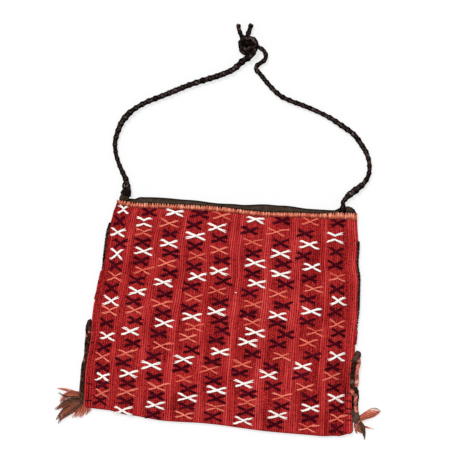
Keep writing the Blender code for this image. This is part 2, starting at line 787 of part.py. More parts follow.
def make_tuft(name, place, lift, shape, finish):
    """A fan of hair that spreads from its tie: long locks with short ones between them."""
    angles, reaches, locks = shape
    body = bmesh.new()
    root = TIE_RADIUS + CLEARANCE
    spokes = 2 * locks
    steps = TUFT_STEPS
    tops, feet = [], []
    for spoke in range(spokes + 1):
        share = spoke / spokes
        angle = math.radians(angles[0] + (angles[1] - angles[0]) * share)
        long_lock = spoke % 2 == 1
        reach = (reaches[0] + (reaches[1] - reaches[0]) * share) * (1 if long_lock else SHORT_LOCK)
        thickness = TUFT_THICKNESS * (1 if long_lock else SHORT_LOCK_THICKNESS)
        top, foot = [], []
        for step in range(steps + 1):
            part = step / steps
            radius = root + (reach - root) * part
            x = place.x + radius * math.cos(angle)
            y = place.y + radius * math.sin(angle)
            foot.append(body.verts.new((x, y, lift)))
            height = lift + thickness * math.cos(part * math.pi / 2) ** 0.7
            top.append(body.verts.new((x, y, height)) if step < steps else foot[-1])
        tops.append(top)
        feet.append(foot)
    for spoke in range(spokes):
        for step in range(steps):
            for rows in (tops, feet):
                corners = [rows[spoke][step], rows[spoke][step + 1],
                           rows[spoke + 1][step + 1], rows[spoke + 1][step]]
                body.faces.new(corners)
        body.faces.new((tops[spoke][0], tops[spoke + 1][0], feet[spoke + 1][0], feet[spoke][0]))
    for spoke in (0, spokes):
        for step in range(steps):
            corners = [tops[spoke][step], tops[spoke][step + 1], feet[spoke][step + 1], feet[spoke][step]]
            body.faces.new(list(dict.fromkeys(corners)))
    made = finish_mesh(body, name, [finish])
    made.data.shade_smooth()
    made.data.set_sharp_from_angle(angle=math.radians(60))


def make_tassels():
    left = tie_place(left_point, 1, LEFT_BRAID[1])
    right = tie_place(right_point, -1, RIGHT_BRAID[1])
    low = CLEARANCE
    upper = low + TUFT_THICKNESS + TUFT_STACK_GAP
    make_tie("left_tassel_tie", left)
    make_tie("right_tassel_tie", right)
    make_tuft("left_tassel_orange", left, low, LEFT_ORANGE_TUFT, "rust")
    make_tuft("left_tassel_brown", left, upper, LEFT_BROWN_TUFT, "brown")
    make_tuft("right_tassel_orange", right, low, RIGHT_ORANGE_TUFT, "rust")
    make_tuft("right_tassel_brown", right, low, RIGHT_BROWN_TUFT, "brown")


# Strap
def rounded_block(name, size, centre, finish):
    body = bmesh.new()
    bmesh.ops.create_cube(body, size=1)
    bmesh.ops.scale(body, vec=size, verts=body.verts)
    bmesh.ops.bevel(body, geom=body.edges[:], offset=min(size) / 3, segments=2, profile=0.5, affect="EDGES")
    mesh = bpy.data.meshes.new(name)
    body.to_mesh(mesh)
    body.free()
    mesh.materials.append(material(finish))
    mesh.shade_smooth()
    add_object(name, mesh, centre)


def make_anchor(name, share, depth):
    """The lashing that holds a strap cord to the band, close outside the edging. Gives its cord's exit."""
    point = mouth_point(share)
    near = point.y + edging_width(share) + 4 * CLEARANCE
    middle = CLOTH + CLEARANCE + ANCHOR_HEIGHT / 2
    rounded_block(name, (ANCHOR_WIDTH, depth, ANCHOR_HEIGHT), (point.x, near + depth / 2, middle), "charcoal")
    return (point.x, near + depth + CLEARANCE, middle)


def make_knot():
    """The overhand knot that joins the two cords, as one closed loop of cord."""
    points = []
    for number in range(KNOT_POINTS):
        t = 2 * math.pi * number / KNOT_POINTS
        x = KNOT_SCALE * (math.sin(t) + 2 * math.sin(2 * t))
        y = KNOT_SCALE * (math.cos(t) - 2 * math.cos(2 * t))
        turned_x = x * math.cos(KNOT_TURN) - y * math.sin(KNOT_TURN)
        turned_y = x * math.sin(KNOT_TURN) + y * math.cos(KNOT_TURN)
        height = KNOT_LIFT + KNOT_CORD_RADIUS + CLEARANCE / 3 - KNOT_LIFT * math.sin(3 * t)
        points.append((KNOT_CENTRE[0] + turned_x, KNOT_CENTRE[1] + turned_y, height))
    tube("strap_knot", points, KNOT_CORD_RADIUS, "goat_hair", sides=1, closed=True)


def cord_from(name, exit_point, route):
    """A strap cord that leaves its anchor straight. Gives the cord's end and the way it points there."""
    start = Vector(exit_point)
    points = [start] + smooth_route((start + Vector((0, CORD_RADIUS, 0)),) + route, CORD_STEP)
    tube(name, points, CORD_RADIUS, "goat_hair")
    return points[-1], (points[-1] - points[-2]).normalized()


def make_strap():
    left = make_anchor("left_strap_anchor", LEFT_ANCHOR_SHARE, LEFT_ANCHOR_DEPTH)
    right = make_anchor("right_strap_anchor", RIGHT_ANCHOR_SHARE, RIGHT_ANCHOR_DEPTH)
    cord_from("left_strap_cord", left, LEFT_CORD)
    joint, heading = cord_from("right_strap_cord", right, RIGHT_CORD)
    start = joint + heading * CLEARANCE
    turn = [start] + smooth_route((start + heading * CORD_RADIUS,) + KNOT_ENTRY, CORD_RADIUS)
    tube("strap_knot_turn", turn, CORD_RADIUS, "goat_hair", sides=1)
    make_knot()
    for name, route in (("left_strap_end", LEFT_TIP), ("right_strap_end", RIGHT_TIP)):
        points = smooth_route(route, 2 * TIP_RADIUS)
        radii = [1 - TIP_TAPER * index / (len(points) - 1) for index in range(len(points))]
        tube(name, points, TIP_RADIUS, "goat_hair", sides=1, radii=radii)


def main():
    clear_scene()
    carrier = bpy.data.objects.new("carpet_shoulder_bag", None)
    bpy.context.scene.collection.objects.link(carrier)
    make_kilim_body()
    mouth_strip("front_mouth_edging", shares(*EDGING_ENDS, STRIP_STEPS), edging_section, "apricot")
    mouth_strip("back_mouth_band", shares(*BAND_ENDS, STRIP_STEPS), band_section, "charcoal")
    make_stitching("left_seam_stitching", left_point, 1, side_stations(LEFT_HEIGHT)[1:LEFT_STITCHED + 1])
    make_stitching("right_seam_stitching", right_point, -1, side_stations(RIGHT_HEIGHT)[1:RIGHT_STITCHED + 1])
    make_braid("left_braid", left_point, 1, LEFT_BRAID)
    make_braid("right_braid", right_point, -1, RIGHT_BRAID)
    make_tassels()
    make_strap()


main()
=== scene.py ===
"""Carpet shoulder bag: the woven and plaited surfaces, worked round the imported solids.

The bag lies on its back. X runs across it, Y from the fold at its base to the mouth, Z up. In metres.
"""

import math
import random

import bpy
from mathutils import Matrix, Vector, noise


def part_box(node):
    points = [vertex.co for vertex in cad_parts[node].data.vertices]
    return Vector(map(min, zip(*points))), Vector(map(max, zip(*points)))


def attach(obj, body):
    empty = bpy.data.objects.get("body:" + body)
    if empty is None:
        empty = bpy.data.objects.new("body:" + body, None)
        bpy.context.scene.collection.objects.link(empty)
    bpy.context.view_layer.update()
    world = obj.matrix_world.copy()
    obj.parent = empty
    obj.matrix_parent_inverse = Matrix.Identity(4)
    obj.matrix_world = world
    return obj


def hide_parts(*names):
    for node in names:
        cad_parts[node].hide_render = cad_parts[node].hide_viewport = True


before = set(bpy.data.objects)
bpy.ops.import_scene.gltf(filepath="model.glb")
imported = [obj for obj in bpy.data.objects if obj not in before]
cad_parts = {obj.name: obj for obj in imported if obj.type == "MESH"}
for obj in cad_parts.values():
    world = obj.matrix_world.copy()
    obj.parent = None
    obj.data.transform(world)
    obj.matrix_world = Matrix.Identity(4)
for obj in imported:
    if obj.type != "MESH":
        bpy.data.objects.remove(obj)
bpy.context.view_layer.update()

TURN = 2 * math.pi

# The pouch, as its solids have it
MOUTH_WIDTH = 0.2906
BASE_WIDTH = 0.3236
LEFT_HEIGHT = 0.2475
RIGHT_HEIGHT = 0.258
MOUTH_OFFSET = 0.0015
CORNER_RADIUS = 0.006
CLOTH = 0.0026
POCKET_GAP = 0.0068
POCKET_RISE = 0.030
SEAM_WIDTH = 0.006
EDGE_ROUND = 0.0022
CLEARANCE = 0.0003
SIDE_STRIP = 0.06
LEFT_WAVE = ((0, 0), (0.05, 0.0022), (0.15, 0.0053), (0.3, 0.0044), (0.42, 0.0060), (0.5, 0.0080),
             (0.75, 0.0046), (1, 0))
RIGHT_WAVE = ((0, 0), (0.13, 0.0022), (0.2, 0.0014), (0.28, 0.0042), (0.42, 0.0042), (0.6, 0.0014),
              (0.8, -0.0006), (1, 0))
FOLD_WAVE = ((0, 0), (0.08, 0.0003), (0.17, 0.0038), (0.3, 0.0064), (0.46, 0.0046), (0.7, 0.0067),
             (0.88, 0.0060), (0.95, 0.0038), (1, 0))
MOUTH_WAVE = ((0, 0), (0.08, -0.0022), (0.25, -0.001), (0.4, -0.0004), (0.61, -0.0028), (0.8, -0.0009),
              (1, 0))

# How much farther out the cloth's own side lies beside each side rope
LEFT_FARTHER = ((0, 0), (0.62, 0), (0.76, 0.0016), (0.82, 0.0021), (1, 0.0019))
RIGHT_FARTHER = ((0, 0), (0.88, 0), (0.94, 0.0012), (1, 0.0018))

# The columns of crosses: share of the width at the mouth and at the fold, crosses, fold margin, sag
COLUMNS = (
    (0.032, 0.058, 19, 0.0107, 0.0096),
    (0.141, 0.145, 21, 0.0047, 0.0012),
    (0.246, 0.256, 21, 0.0057, 0.0012),
    (0.349, 0.373, 21, 0.0088, 0.0048),
    (0.439, 0.480, 21, 0.0100, 0.0072),
    (0.580, 0.593, 21, 0.0096, 0.0048),
    (0.689, 0.700, 21, 0.0098, 0.0036),
    (0.806, 0.833, 20, 0.0090, 0.0036),
    (0.918, 0.941, 19, 0.0094, 0.0110),
)
CROSS_MOUTH_MARGIN = 0.0062
REPEAT = 4
# The weaver's slips: ivory crosses moved from their row in the repeat to another, ones added, and
# places where plum and apricot have changed over
MOVED_IVORY = {(0, 11): 10, (0, 15): 14, (1, 20): 19, (5, 12): 14, (6, 9): 11, (6, 13): 15,
               (7, 10): 11, (7, 14): 15, (7, 18): 17, (8, 11): 12, (8, 15): 17}
ADDED_IVORY = ((0, 16), (0, 18), (2, 20), (5, 9))
CHANGED_OVER = ((3, 9), (3, 20), (4, 9), (4, 20), (5, 10), (6, 7), (6, 8), (7, 8), (8, 14), (8, 15))

# The weaver miscounts a whole row at a time: how far each row of crosses has slipped to the right and
# how high it sits, from the fold up. A column takes part in the slips by its share, bows to the right
# in its middle, and its two halves sit high and low. A few crosses have slipped by themselves.
STRAY = 0.001
ROW_SLIPS = (0, 3, 4, 5, 0, -5, -3, 7, 2, 9, 5, -1, 3, -2, 5, 0, 4, 0, -1, -5, 0)
ROW_RISES = (0, 0, 0, -1, -1, 0, -1, 0, 2, 3, 3, 1, 1, 2, 2, 1, 1, 0, 0, 0, 1)
COLUMN_SWAYS = ((0.3, 3, -3.5), (0.7, 1, -1), (0.8, 0, -0.5), (0.9, 0, -0.5), (0.9, 2, 1), (1.1, 0, 1),
                (1.2, 1, 0.5), (1.1, -3, 0), (0.5, -4, 3))
LONE_SLIPS = {(0, 15): 5, (1, 4): 4, (6, 0): 4, (6, 1): 3, (6, 2): 6, (6, 3): 5, (6, 10): -6, (7, 16): -6}

# Edging, band, braids and strap. A yarn has a width and a height, or is round. The edging widens
# towards its right corner, and past PALE_FROM some of its turns are nearly white.
EDGING_WIDTH = 0.0042
EDGING_CORNER_WIDTH = 0.0072
EDGING_WIDENS = (0.82, 0.95)
EDGING_TURNS = 290
EDGING_CORE = (0.0032, 0.0028)
EDGING_YARN = (0.0012, 0.0010)
TOOTH_PITCH = 0.0031
PALE_FROM = 0.84
BAND_CORD = (0.0016, 0.0019)
BAND_WEAVE = 0.00014
OVERCAST_YARN = (0.0023, 0.0013)
OVERCAST_PITCH = 0.0020
SEAM_YARN = (0.0012, 0.0009)
TIE_YARN = 0.0013
TIE_PITCH = 0.0009
HAIR_WIDTHS = (0.00055, 0.00095)
LASHING_YARN = (0.0024, 0.0021)
LASHING_CORE = (0.0098, 0.0064)
KNOT_CORE = (0.0072, 0.0070)
LOOSE_YARN = 0.0026
TIP_HAIRS = 24
BAND_REACH = ((0, 0.003), (0.025, 0.0045), (0.05, 0.0082), (0.072, 0.0086), (0.10, 0.0113), (0.15, 0.0116),
              (0.3, 0.0104), (0.42, 0.0082), (0.5, 0.0095), (0.62, 0.013), (0.69, 0.0122), (0.8, 0.0092),
              (0.9, 0.0090), (0.935, 0.0128), (0.960, 0.0146), (0.980, 0.0122), (1, 0.0045))
LEFT_TIE = (-0.1655, -0.1166, 0.0036)
RIGHT_TIE = (0.1648, -0.1084, 0.0052)
LEFT_BRAID = (0.571, 0.9545)
RIGHT_BRAID = (0.6105, 0.936)
CORD_RADIUS = 0.0030
# How thick each cord is on its way from the bag to the knot, against its usual thickness
LEFT_CORD_SIZES = ((0, 1.08), (0.06, 1.06), (0.10, 0.98), (0.14, 0.90), (0.20, 0.88), (0.27, 0.97),
                   (0.33, 1.08), (0.37, 1.27), (0.43, 1.05), (0.50, 1.02), (0.57, 1.0), (0.62, 1.12),
                   (0.70, 1.09), (0.80, 1.10), (0.87, 1.12), (0.93, 1.20), (1, 1.28))
RIGHT_CORD_SIZES = ((0, 0.86), (0.03, 0.86), (0.06, 1.22), (0.10, 1.40), (0.13, 1.24), (0.17, 1.02),
                    (0.23, 0.88), (0.28, 0.87), (0.33, 0.96), (0.42, 1.07), (0.50, 1.10), (0.57, 0.96),
                    (0.63, 0.85), (0.68, 0.92), (0.75, 1.0), (0.83, 0.97), (0.90, 0.91), (1, 0.88))
LEFT_CORD = ((-0.1318, 0.1450, 0.0047), (-0.1349, 0.1543, 0.0033), (-0.1397, 0.1626, 0.0031),
             (-0.1452, 0.1732, 0.0031), (-0.1496, 0.1851, 0.0031), (-0.1513, 0.1973, 0.0031),
             (-0.1493, 0.2098, 0.0031), (-0.1448, 0.2228, 0.0031), (-0.1358, 0.2352, 0.0031),
             (-0.1206, 0.2469, 0.0031), (-0.1053, 0.2548, 0.0031), (-0.0914, 0.2616, 0.0031),
             (-0.0773, 0.2689, 0.0031), (-0.0619, 0.2762, 0.0031), (-0.0475, 0.2820, 0.0031),
             (-0.0357, 0.2868, 0.0031), (-0.0261, 0.2912, 0.0031), (-0.0174, 0.2962, 0.0032),
             (-0.0107, 0.3027, 0.0034), (-0.0056, 0.3082, 0.0038), (0.0004, 0.3124, 0.0044))
RIGHT_CORD = ((0.1286, 0.1500, 0.0046), (0.1335, 0.1566, 0.0033), (0.1416, 0.1640, 0.0031),
              (0.1512, 0.1735, 0.0031), (0.1559, 0.1848, 0.0031), (0.1555, 0.1971, 0.0031),
              (0.1513, 0.2090, 0.0031), (0.1430, 0.2206, 0.0031), (0.1336, 0.2309, 0.0031),
              (0.1193, 0.2396, 0.0031), (0.1039, 0.2481, 0.0031), (0.0887, 0.2542, 0.0031),
              (0.0710, 0.2601, 0.0031), (0.0558, 0.2643, 0.0031), (0.0431, 0.2691, 0.0031),
              (0.0320, 0.2772, 0.0031), (0.0228, 0.2861, 0.0031), (0.0158, 0.2935, 0.0031))
# Where the right cord turns into the knot, and both free ends
KNOT_ENTRY = ((0.0106, 0.2984, 0.0031), (0.0108, 0.3030, 0.0031), (0.0152, 0.3069, 0.0031),
              (0.0195, 0.3110, 0.0032), (0.0207, 0.3165, 0.0038), (0.0180, 0.3215, 0.0050),
              (0.0130, 0.3246, 0.0058), (0.0083, 0.3261, 0.0060))
LEFT_TIP = ((-0.0095, 0.3343, 0.0058), (-0.0128, 0.3415, 0.0046), (-0.0145, 0.3455, 0.0034),
            (-0.0153, 0.3505, 0.0030))
RIGHT_TIP = ((-0.0036, 0.3346, 0.0058), (-0.0028, 0.3405, 0.0046), (-0.0014, 0.3460, 0.0036),
             (0.0000, 0.3520, 0.0034))

# The ways of both cords inside the knot
LEFT_KNOT = ((0.0004, 0.3124, 0.0044), (0.0038, 0.3163, 0.0060), (0.0067, 0.3220, 0.0073),
             (0.0077, 0.3281, 0.0080), (0.0049, 0.3329, 0.0084), (-0.0007, 0.3348, 0.0086),
             (-0.0061, 0.3344, 0.0080), (-0.0097, 0.3308, 0.0070), (-0.0101, 0.3260, 0.0060),
             (-0.0086, 0.3207, 0.0050), (-0.0043, 0.3177, 0.0046), (-0.0006, 0.3196, 0.0042),
             (-0.0004, 0.3244, 0.0042), (-0.0022, 0.3309, 0.0046), (-0.0034, 0.3352, 0.0056),
             (-0.0034, 0.3380, 0.0052))
RIGHT_KNOT = ((0.0102, 0.3267, 0.0059), (0.0055, 0.3249, 0.0076), (0.0009, 0.3233, 0.0093),
              (-0.0042, 0.3215, 0.0097), (-0.0088, 0.3224, 0.0076), (-0.0071, 0.3249, 0.0036),
              (-0.0022, 0.3270, 0.0052), (-0.0028, 0.3285, 0.0090), (-0.0068, 0.3293, 0.0095),
              (-0.0097, 0.3300, 0.0076), (-0.0097, 0.3329, 0.0058), (-0.0093, 0.3356, 0.0054),
              (-0.0103, 0.3380, 0.0049))
# A loose strand beside the left lashing, and what fills the knot's middle
LOOSE_STRAND = ((-0.1336, 0.1408, 0.0052), (-0.1368, 0.1436, 0.0040), (-0.1374, 0.1470, 0.0034),
                (-0.1362, 0.1500, 0.0034), (-0.1346, 0.1522, 0.0038))
KNOT_FILL = (((-0.0062, 0.3317, 0.0052), (-0.0056, 0.3255, 0.0058), (-0.0049, 0.3192, 0.0052)),
             ((0.0019, 0.3318, 0.0056), (0.0020, 0.3245, 0.0056), (0.0017, 0.3173, 0.0050)))

# The photograph's view: its middle, its turn and the width that it covers at the front's height
VIEW_CENTRE = (-0.0048, 0.1037)
VIEW_TURN = math.radians(4.8)
VIEW_WIDTH = 0.552
VIEW_HEIGHT = 2.2
FRONT_HEIGHT = 0.008
SENSOR_WIDTH = 36.0

# Light and floor
SKY_STRENGTH = 0.58
SUN_STRENGTH = 2.2
SUN_WIDTH = math.radians(14)
SUN_WAY = (0.42, -0.62, -1.0)
FLOOR_SIZE = 12
FLOOR_DROP = 0.0006
FLOOR_SHADE = 0.90
FLOOR_GLOW = 0.72

# The weave, and the rows and steps of the grid that it is built on
RIBS = 118
POINTS_A_RIB = 4
RIB_RELIEF = 0.00045
PICK_ROWS = 74
FOLD_ROWS = (0.0, 0.00035, 0.0009, 0.0016, 0.0024, 0.0036, 0.0055, 0.0080, 0.0110)
POCKET_ROWS = 14
POCKET_STEP = 8
COLUMN_HALF = 0.030
BAND_FADE = 0.022
PICKS = 230.0
CHECK_SIZE = 0.0013


# Values in a finish
class Line:
    """A value that varies over a surface. Sums on it add Math nodes."""

    def __init__(self, finish, socket):
        self.finish = finish
        self.socket = socket

    def sum_with(self, operation, first, second=None):
        values = {0: first} if second is None else {0: first, 1: second}
        return self.finish.node("ShaderNodeMath", {"operation": operation}, values)

    def __add__(self, other):
        return self.sum_with("ADD", self, other)

    def __radd__(self, other):
        return self.sum_with("ADD", other, self)

    def __sub__(self, other):
        return self.sum_with("SUBTRACT", self, other)

    def __rsub__(self, other):
        return self.sum_with("SUBTRACT", other, self)

    def __mul__(self, other):
        return self.sum_with("MULTIPLY", self, other)

    def sine(self):
        return self.sum_with("SINE", self)

    def cosine(self):
        return self.sum_with("COSINE", self)

    def whole(self):
        return self.sum_with("FLOOR", self)

    def clamped(self):
        return self.finish.node("ShaderNodeClamp", {}, {"Value": self})


class Finish:
    """One material: a matt Principled shader and the pattern nodes that feed it."""

    def __init__(self, name, roughness=0.85, gloss=0.04):
        self.material = bpy.data.materials.new(name)
        self.material.use_nodes = True
        self.tree = self.material.node_tree
        self.shader = self.tree.nodes["Principled BSDF"]
        self.shader.inputs["Metallic"].default_value = 0.0
        self.shader.inputs["Roughness"].default_value = roughness
        self.shader.inputs["Specular IOR Level"].default_value = gloss

    def node(self, kind, settings, values, output=0):
        made = self.tree.nodes.new(kind)
        for name, value in settings.items():
            if name == "stops":
                self.set_stops(made.color_ramp, value)
            else:
                setattr(made, name, value)
        for place, value in values.items():
            socket = made.inputs[place]
            if isinstance(value, Line):
                self.tree.links.new(value.socket, socket)
            else:
                socket.default_value = value
        return Line(self, made.outputs[output])

    def set_stops(self, ramp, stops):
        while len(ramp.elements) < len(stops):
            ramp.elements.new(0.5)
        for element, (place, colour) in zip(ramp.elements, stops):
            element.position = place
            element.color = (*colour, 1)

    def parts(self, vector):
        """The X, Y and Z of a vector."""
        split = self.tree.nodes.new("ShaderNodeSeparateXYZ")
        self.tree.links.new(vector.socket, split.inputs[0])
        return [Line(self, socket) for socket in split.outputs]

    def vector(self, x, y, z=0.0):
        return self.node("ShaderNodeCombineXYZ", {}, {0: x, 1: y, 2: z})

    def place(self):
        return self.node("ShaderNodeTexCoord", {}, {}, "Object")

    def map(self, name):
        return self.node("ShaderNodeUVMap", {"uv_map": name}, {})

    def value_of(self, name):
        return self.node("ShaderNodeAttribute", {"attribute_name": name}, {}, "Fac")

    def speckle(self, vector, scale, detail=2.0, roughness=0.5):
        values = {"Vector": vector, "Scale": scale, "Detail": detail, "Roughness": roughness}
        return self.node("ShaderNodeTexNoise", {}, values, 0)

    def between(self, share, first, second):
        """A colour between two colours."""
        def full(colour):
            return colour if isinstance(colour, Line) else (*colour, 1)

        values = {0: share, 6: full(first), 7: full(second)}
        return self.node("ShaderNodeMix", {"data_type": "RGBA", "clamp_factor": True}, values, 2)

    def ramp(self, share, stops):
        return self.node("ShaderNodeValToRGB", {"stops": stops}, {"Fac": share})

    def colour(self, line):
        self.tree.links.new(line.socket, self.shader.inputs["Base Color"])

    def relief(self, height, depth):
        bump = self.node("ShaderNodeBump", {}, {"Height": height, "Distance": depth, "Strength": 1.0})
        self.tree.links.new(bump.socket, self.shader.inputs["Normal"])


RED_STOPS = ((0.0, (0.036, 0.0006, 0.0014)), (0.25, (0.155, 0.0046, 0.0058)), (0.5, (0.366, 0.0155, 0.0160)),
             (0.7, (0.500, 0.0310, 0.0300)), (0.88, (0.600, 0.0540, 0.0520)), (1.0, (0.710, 0.0900, 0.0820)))


def ribbed_wool():
    """Red wool with a rib in each warp: painted light on the crowns, painted shade in the grooves, and dye
    that varies from rib to rib.
    """
    finish = Finish("ribbed_wool", roughness=0.95)
    across, down, _ = finish.parts(finish.map("weave"))
    rib = across * RIBS
    crown = 0.5 - (rib * TURN).cosine() * 0.5
    dye = finish.node("ShaderNodeTexWhiteNoise", {"noise_dimensions": "1D"}, {"W": rib.whole()}, 0)
    streak = finish.speckle(finish.vector(rib * 0.9, down * 8.0), 1.0, 2.0)
    grain = finish.speckle(finish.vector(rib * 1.9, down * 170.0), 1.0, 1.0)
    patch = finish.speckle(finish.vector(across * 9.0, down * 6.0), 1.0, 2.0)
    gaps = finish.speckle(finish.vector(rib * 0.7, down * 75.0, 4.0), 1.0, 1.0)
    band = finish.value_of("band")
    side = finish.value_of("side")
    # Painted shade: near-black gaps between the ribs, where a noise runs high in the grooves.
    gap_shade = ((gaps - 0.50) * 4.0).clamped() * (1 - crown)
    # Painted light and shade: the crown term lightens the rib crowns and darkens the grooves, more so in the
    # plain bands; the side term makes the cloth darker towards its sides.
    light = (0.38 + crown * (band * 0.26 + 0.22) * (dye * 0.7 + 0.65) + (streak - 0.5) * 0.6
             + (grain - 0.5) * (1.25 - band * 0.5) + (patch - 0.5) * 0.5
             + band * 0.03 - side * 0.05 - gap_shade * 0.4)
    finish.colour(finish.ramp(light.clamped(), RED_STOPS))
    pick = (down * (TURN * PICKS) + rib.whole() * math.pi).sine()
    fuzz = finish.speckle(finish.place(), 900.0, 2.0)
    finish.relief(pick * crown * 0.5 + fuzz * 0.6, 0.0003)
    return finish.material


def yarn_wool(name, stops, roughness=0.85, depth=0.0003, mottle=1.0):
    """Plied yarn: its plies wind round it, its dye varies, and its shade is set strand by strand."""
    finish = Finish(name, roughness)
    around, along, _ = finish.parts(finish.map("yarn"))
    shade = finish.value_of("shade")
    ply = ((around * 2.0 + along * 0.8) * TURN).sine() * 0.5 + 0.5
    fuzz = finish.speckle(finish.place(), 1400.0, 2.0)
    patch = finish.speckle(finish.place(), 160.0, 2.0)
    # The ply term darkens the colour in the spiral grooves between the plies: painted shade.
    light = (shade + ((patch - 0.5) * 0.7 + (fuzz - 0.5) * 0.5 + (ply - 0.5) * 0.25) * mottle).clamped()
    finish.colour(finish.ramp(light, stops))
    finish.relief(ply * 0.8 + fuzz * 0.7, depth)
    return finish.material


def hair(name, stops):
    """Loose hair, coloured by the shade that each hair carries from root to tip."""
    finish = Finish(name, roughness=0.6)
    shade = finish.value_of("shade")
    fuzz = finish.speckle(finish.place(), 500.0, 2.0)
    finish.colour(finish.ramp((shade + (fuzz - 0.5) * 0.22).clamped(), stops))
    finish.relief(fuzz, 0.0001)
    return finish.material


def checked_wool(name="checked_wool", darker=0.0):
    """Undyed dark wool in a fine plain weave, with a painted shadow, nearly black, where it comes out from
    under the front.
    """
    finish = Finish(name, roughness=0.9)
    along, over, _ = finish.parts(finish.map("weave"))
    check = (along * math.pi).sine() * (over * math.pi).sine() * 0.5 + 0.5
    patch = finish.speckle(finish.vector(along * 0.22, over * 0.35), 1.0, 3.0)
    fuzz = finish.speckle(finish.place(), 1200.0, 2.0)
    light = (check * 0.75 + (patch - 0.5) * 0.9 + (fuzz - 0.5) * 0.5 + 0.08 - darker).clamped()
    stops = ((0.0, (0.009, 0.005, 0.003)), (0.45, (0.052, 0.034, 0.023)), (1.0, (0.170, 0.125, 0.092)))
    shadow = ((5.4 - over) * 0.6).clamped()
    finish.colour(finish.between(shadow, finish.ramp(light, stops), (0.013, 0.0045, 0.002)))
    finish.relief(check + fuzz * 0.5, 0.0004)
    return finish.material


IVORY_STOPS = ((0.0, (0.86, 0.56, 0.46)), (0.35, (1.0, 0.87, 0.80)), (1.0, (1.0, 0.975, 0.94)))
PLUM_STOPS = ((0.0, (0.018, 0.0006, 0.0024)), (0.5, (0.046, 0.0013, 0.0048)), (1.0, (0.130, 0.0058, 0.0190)))
APRICOT_STOPS = ((0.0, (0.64, 0.064, 0.034)), (0.5, (0.95, 0.178, 0.118)), (1.0, (1.0, 0.430, 0.300)))
EDGING_STOPS = ((0.0, (0.014, 0.006, 0.004)), (0.18, (0.070, 0.022, 0.012)), (0.4, (0.50, 0.070, 0.045)),
                (0.65, (0.74, 0.205, 0.120)), (1.0, (1.0, 0.580, 0.390)))
GOAT_STOPS = ((0.0, (0.0015, 0.0005, 0.0004)), (0.35, (0.010, 0.0052, 0.0045)), (0.6, (0.034, 0.021, 0.018)),
              (1.0, (0.170, 0.125, 0.110)))
ROPE_STOPS = ((0.0, (0.006, 0.003, 0.002)), (0.2, (0.030, 0.016, 0.010)), (0.35, (0.085, 0.048, 0.034)),
              (0.45, (0.220, 0.065, 0.045)), (0.6, (0.54, 0.120, 0.085)), (0.8, (0.76, 0.260, 0.190)),
              (1.0, (0.92, 0.700, 0.600)))
DARK_ROPE_STOPS = ((0.0, (0.006, 0.0014, 0.0009)), (0.25, (0.034, 0.0095, 0.0065)),
                   (0.5, (0.060, 0.026, 0.019)), (1.0, (0.150, 0.115, 0.090)))
HAIR_STOPS = ((0.0, (0.008, 0.004, 0.003)), (0.15, (0.050, 0.022, 0.014)), (0.3, (0.130, 0.060, 0.038)),
              (0.45, (0.280, 0.088, 0.052)), (0.62, (0.54, 0.122, 0.070)), (0.8, (0.78, 0.275, 0.185)),
              (1.0, (0.95, 0.800, 0.740)))

FINISHES = {
    "cloth": ribbed_wool(),
    "ivory": yarn_wool("ivory_cotton", IVORY_STOPS, 0.8),
    "plum": yarn_wool("plum_wool", PLUM_STOPS),
    "apricot": yarn_wool("apricot_wool", APRICOT_STOPS),
    "edging": yarn_wool("edging_wool", EDGING_STOPS),
    "goat_hair": yarn_wool("goat_hair_yarn", GOAT_STOPS, 0.6),
    "rope": yarn_wool("rope_wool", ROPE_STOPS, mottle=0.55),
    "dark_rope": yarn_wool("dark_rope_wool", DARK_ROPE_STOPS, mottle=0.8),
    "red": yarn_wool("red_wool", RED_STOPS, 0.9),
    "band": checked_wool(),
    "fold": checked_wool("folded_wool", 0.2),
    "hair": hair("tassel_hair", HAIR_STOPS),
}


# The outline
def blend(stops, share):
    """The value at a share of the way, eased between given stops."""
    for (start, low), (end, high) in zip(stops, stops[1:]):
        if share <= end:
            part = (share - start) / (end - start)
            return low + (high - low) * (1 - math.cos(math.pi * part)) / 2
    return stops[-1][1]


def ease(value):
    part = min(max(value, 0.0), 1.0)
    return part * part * (3 - 2 * part)


def shares(start, end, steps):
    return [start + (end - start) * step / steps for step in range(steps + 1)]


MOUTH_LEFT = Vector((MOUTH_OFFSET - MOUTH_WIDTH / 2, LEFT_HEIGHT / 2))
MOUTH_RIGHT = Vector((MOUTH_OFFSET + MOUTH_WIDTH / 2, RIGHT_HEIGHT / 2))
BASE_LEFT = Vector((-BASE_WIDTH / 2, -LEFT_HEIGHT / 2))
BASE_RIGHT = Vector((BASE_WIDTH / 2, -RIGHT_HEIGHT / 2))


def edge_point(start, end, wave, share, side):
    line = end - start
    normal = Vector((line.y, -line.x)).normalized() * side
    return start + line * share + normal * blend(wave, share)


def left_point(share):
    return edge_point(MOUTH_LEFT, BASE_LEFT, LEFT_WAVE, share, 1)


def right_point(share):
    return edge_point(MOUTH_RIGHT, BASE_RIGHT, RIGHT_WAVE, share, -1)


def fold_point(share):
    return edge_point(BASE_LEFT, BASE_RIGHT, FOLD_WAVE, share, 1)


def mouth_point(share):
    return edge_point(MOUTH_LEFT, MOUTH_RIGHT, MOUTH_WAVE, share, -1)


class Warp:
    """One line of the cloth from the mouth to the fold, at a share of the width."""

    def __init__(self, across):
        self.across = across
        self.top = mouth_point(across)
        self.foot = fold_point(across)

    def at(self, down, left_bulge, right_bulge):
        bulge = self.across * right_bulge - (1 - self.across) * left_bulge
        if self.across < SIDE_STRIP:
            bulge -= blend(LEFT_FARTHER, down) * (1 - ease(self.across / SIDE_STRIP))
        if self.across > 1 - SIDE_STRIP:
            bulge += blend(RIGHT_FARTHER, down) * (1 - ease((1 - self.across) / SIDE_STRIP))
        return self.top.lerp(self.foot, down) + Vector((bulge, 0))


def bulges(down):
    return blend(LEFT_WAVE, down), blend(RIGHT_WAVE, down)


def cloth_point(across, down):
    """The place of the cloth's own coordinates in the plane."""
    return Warp(across).at(down, *bulges(down))


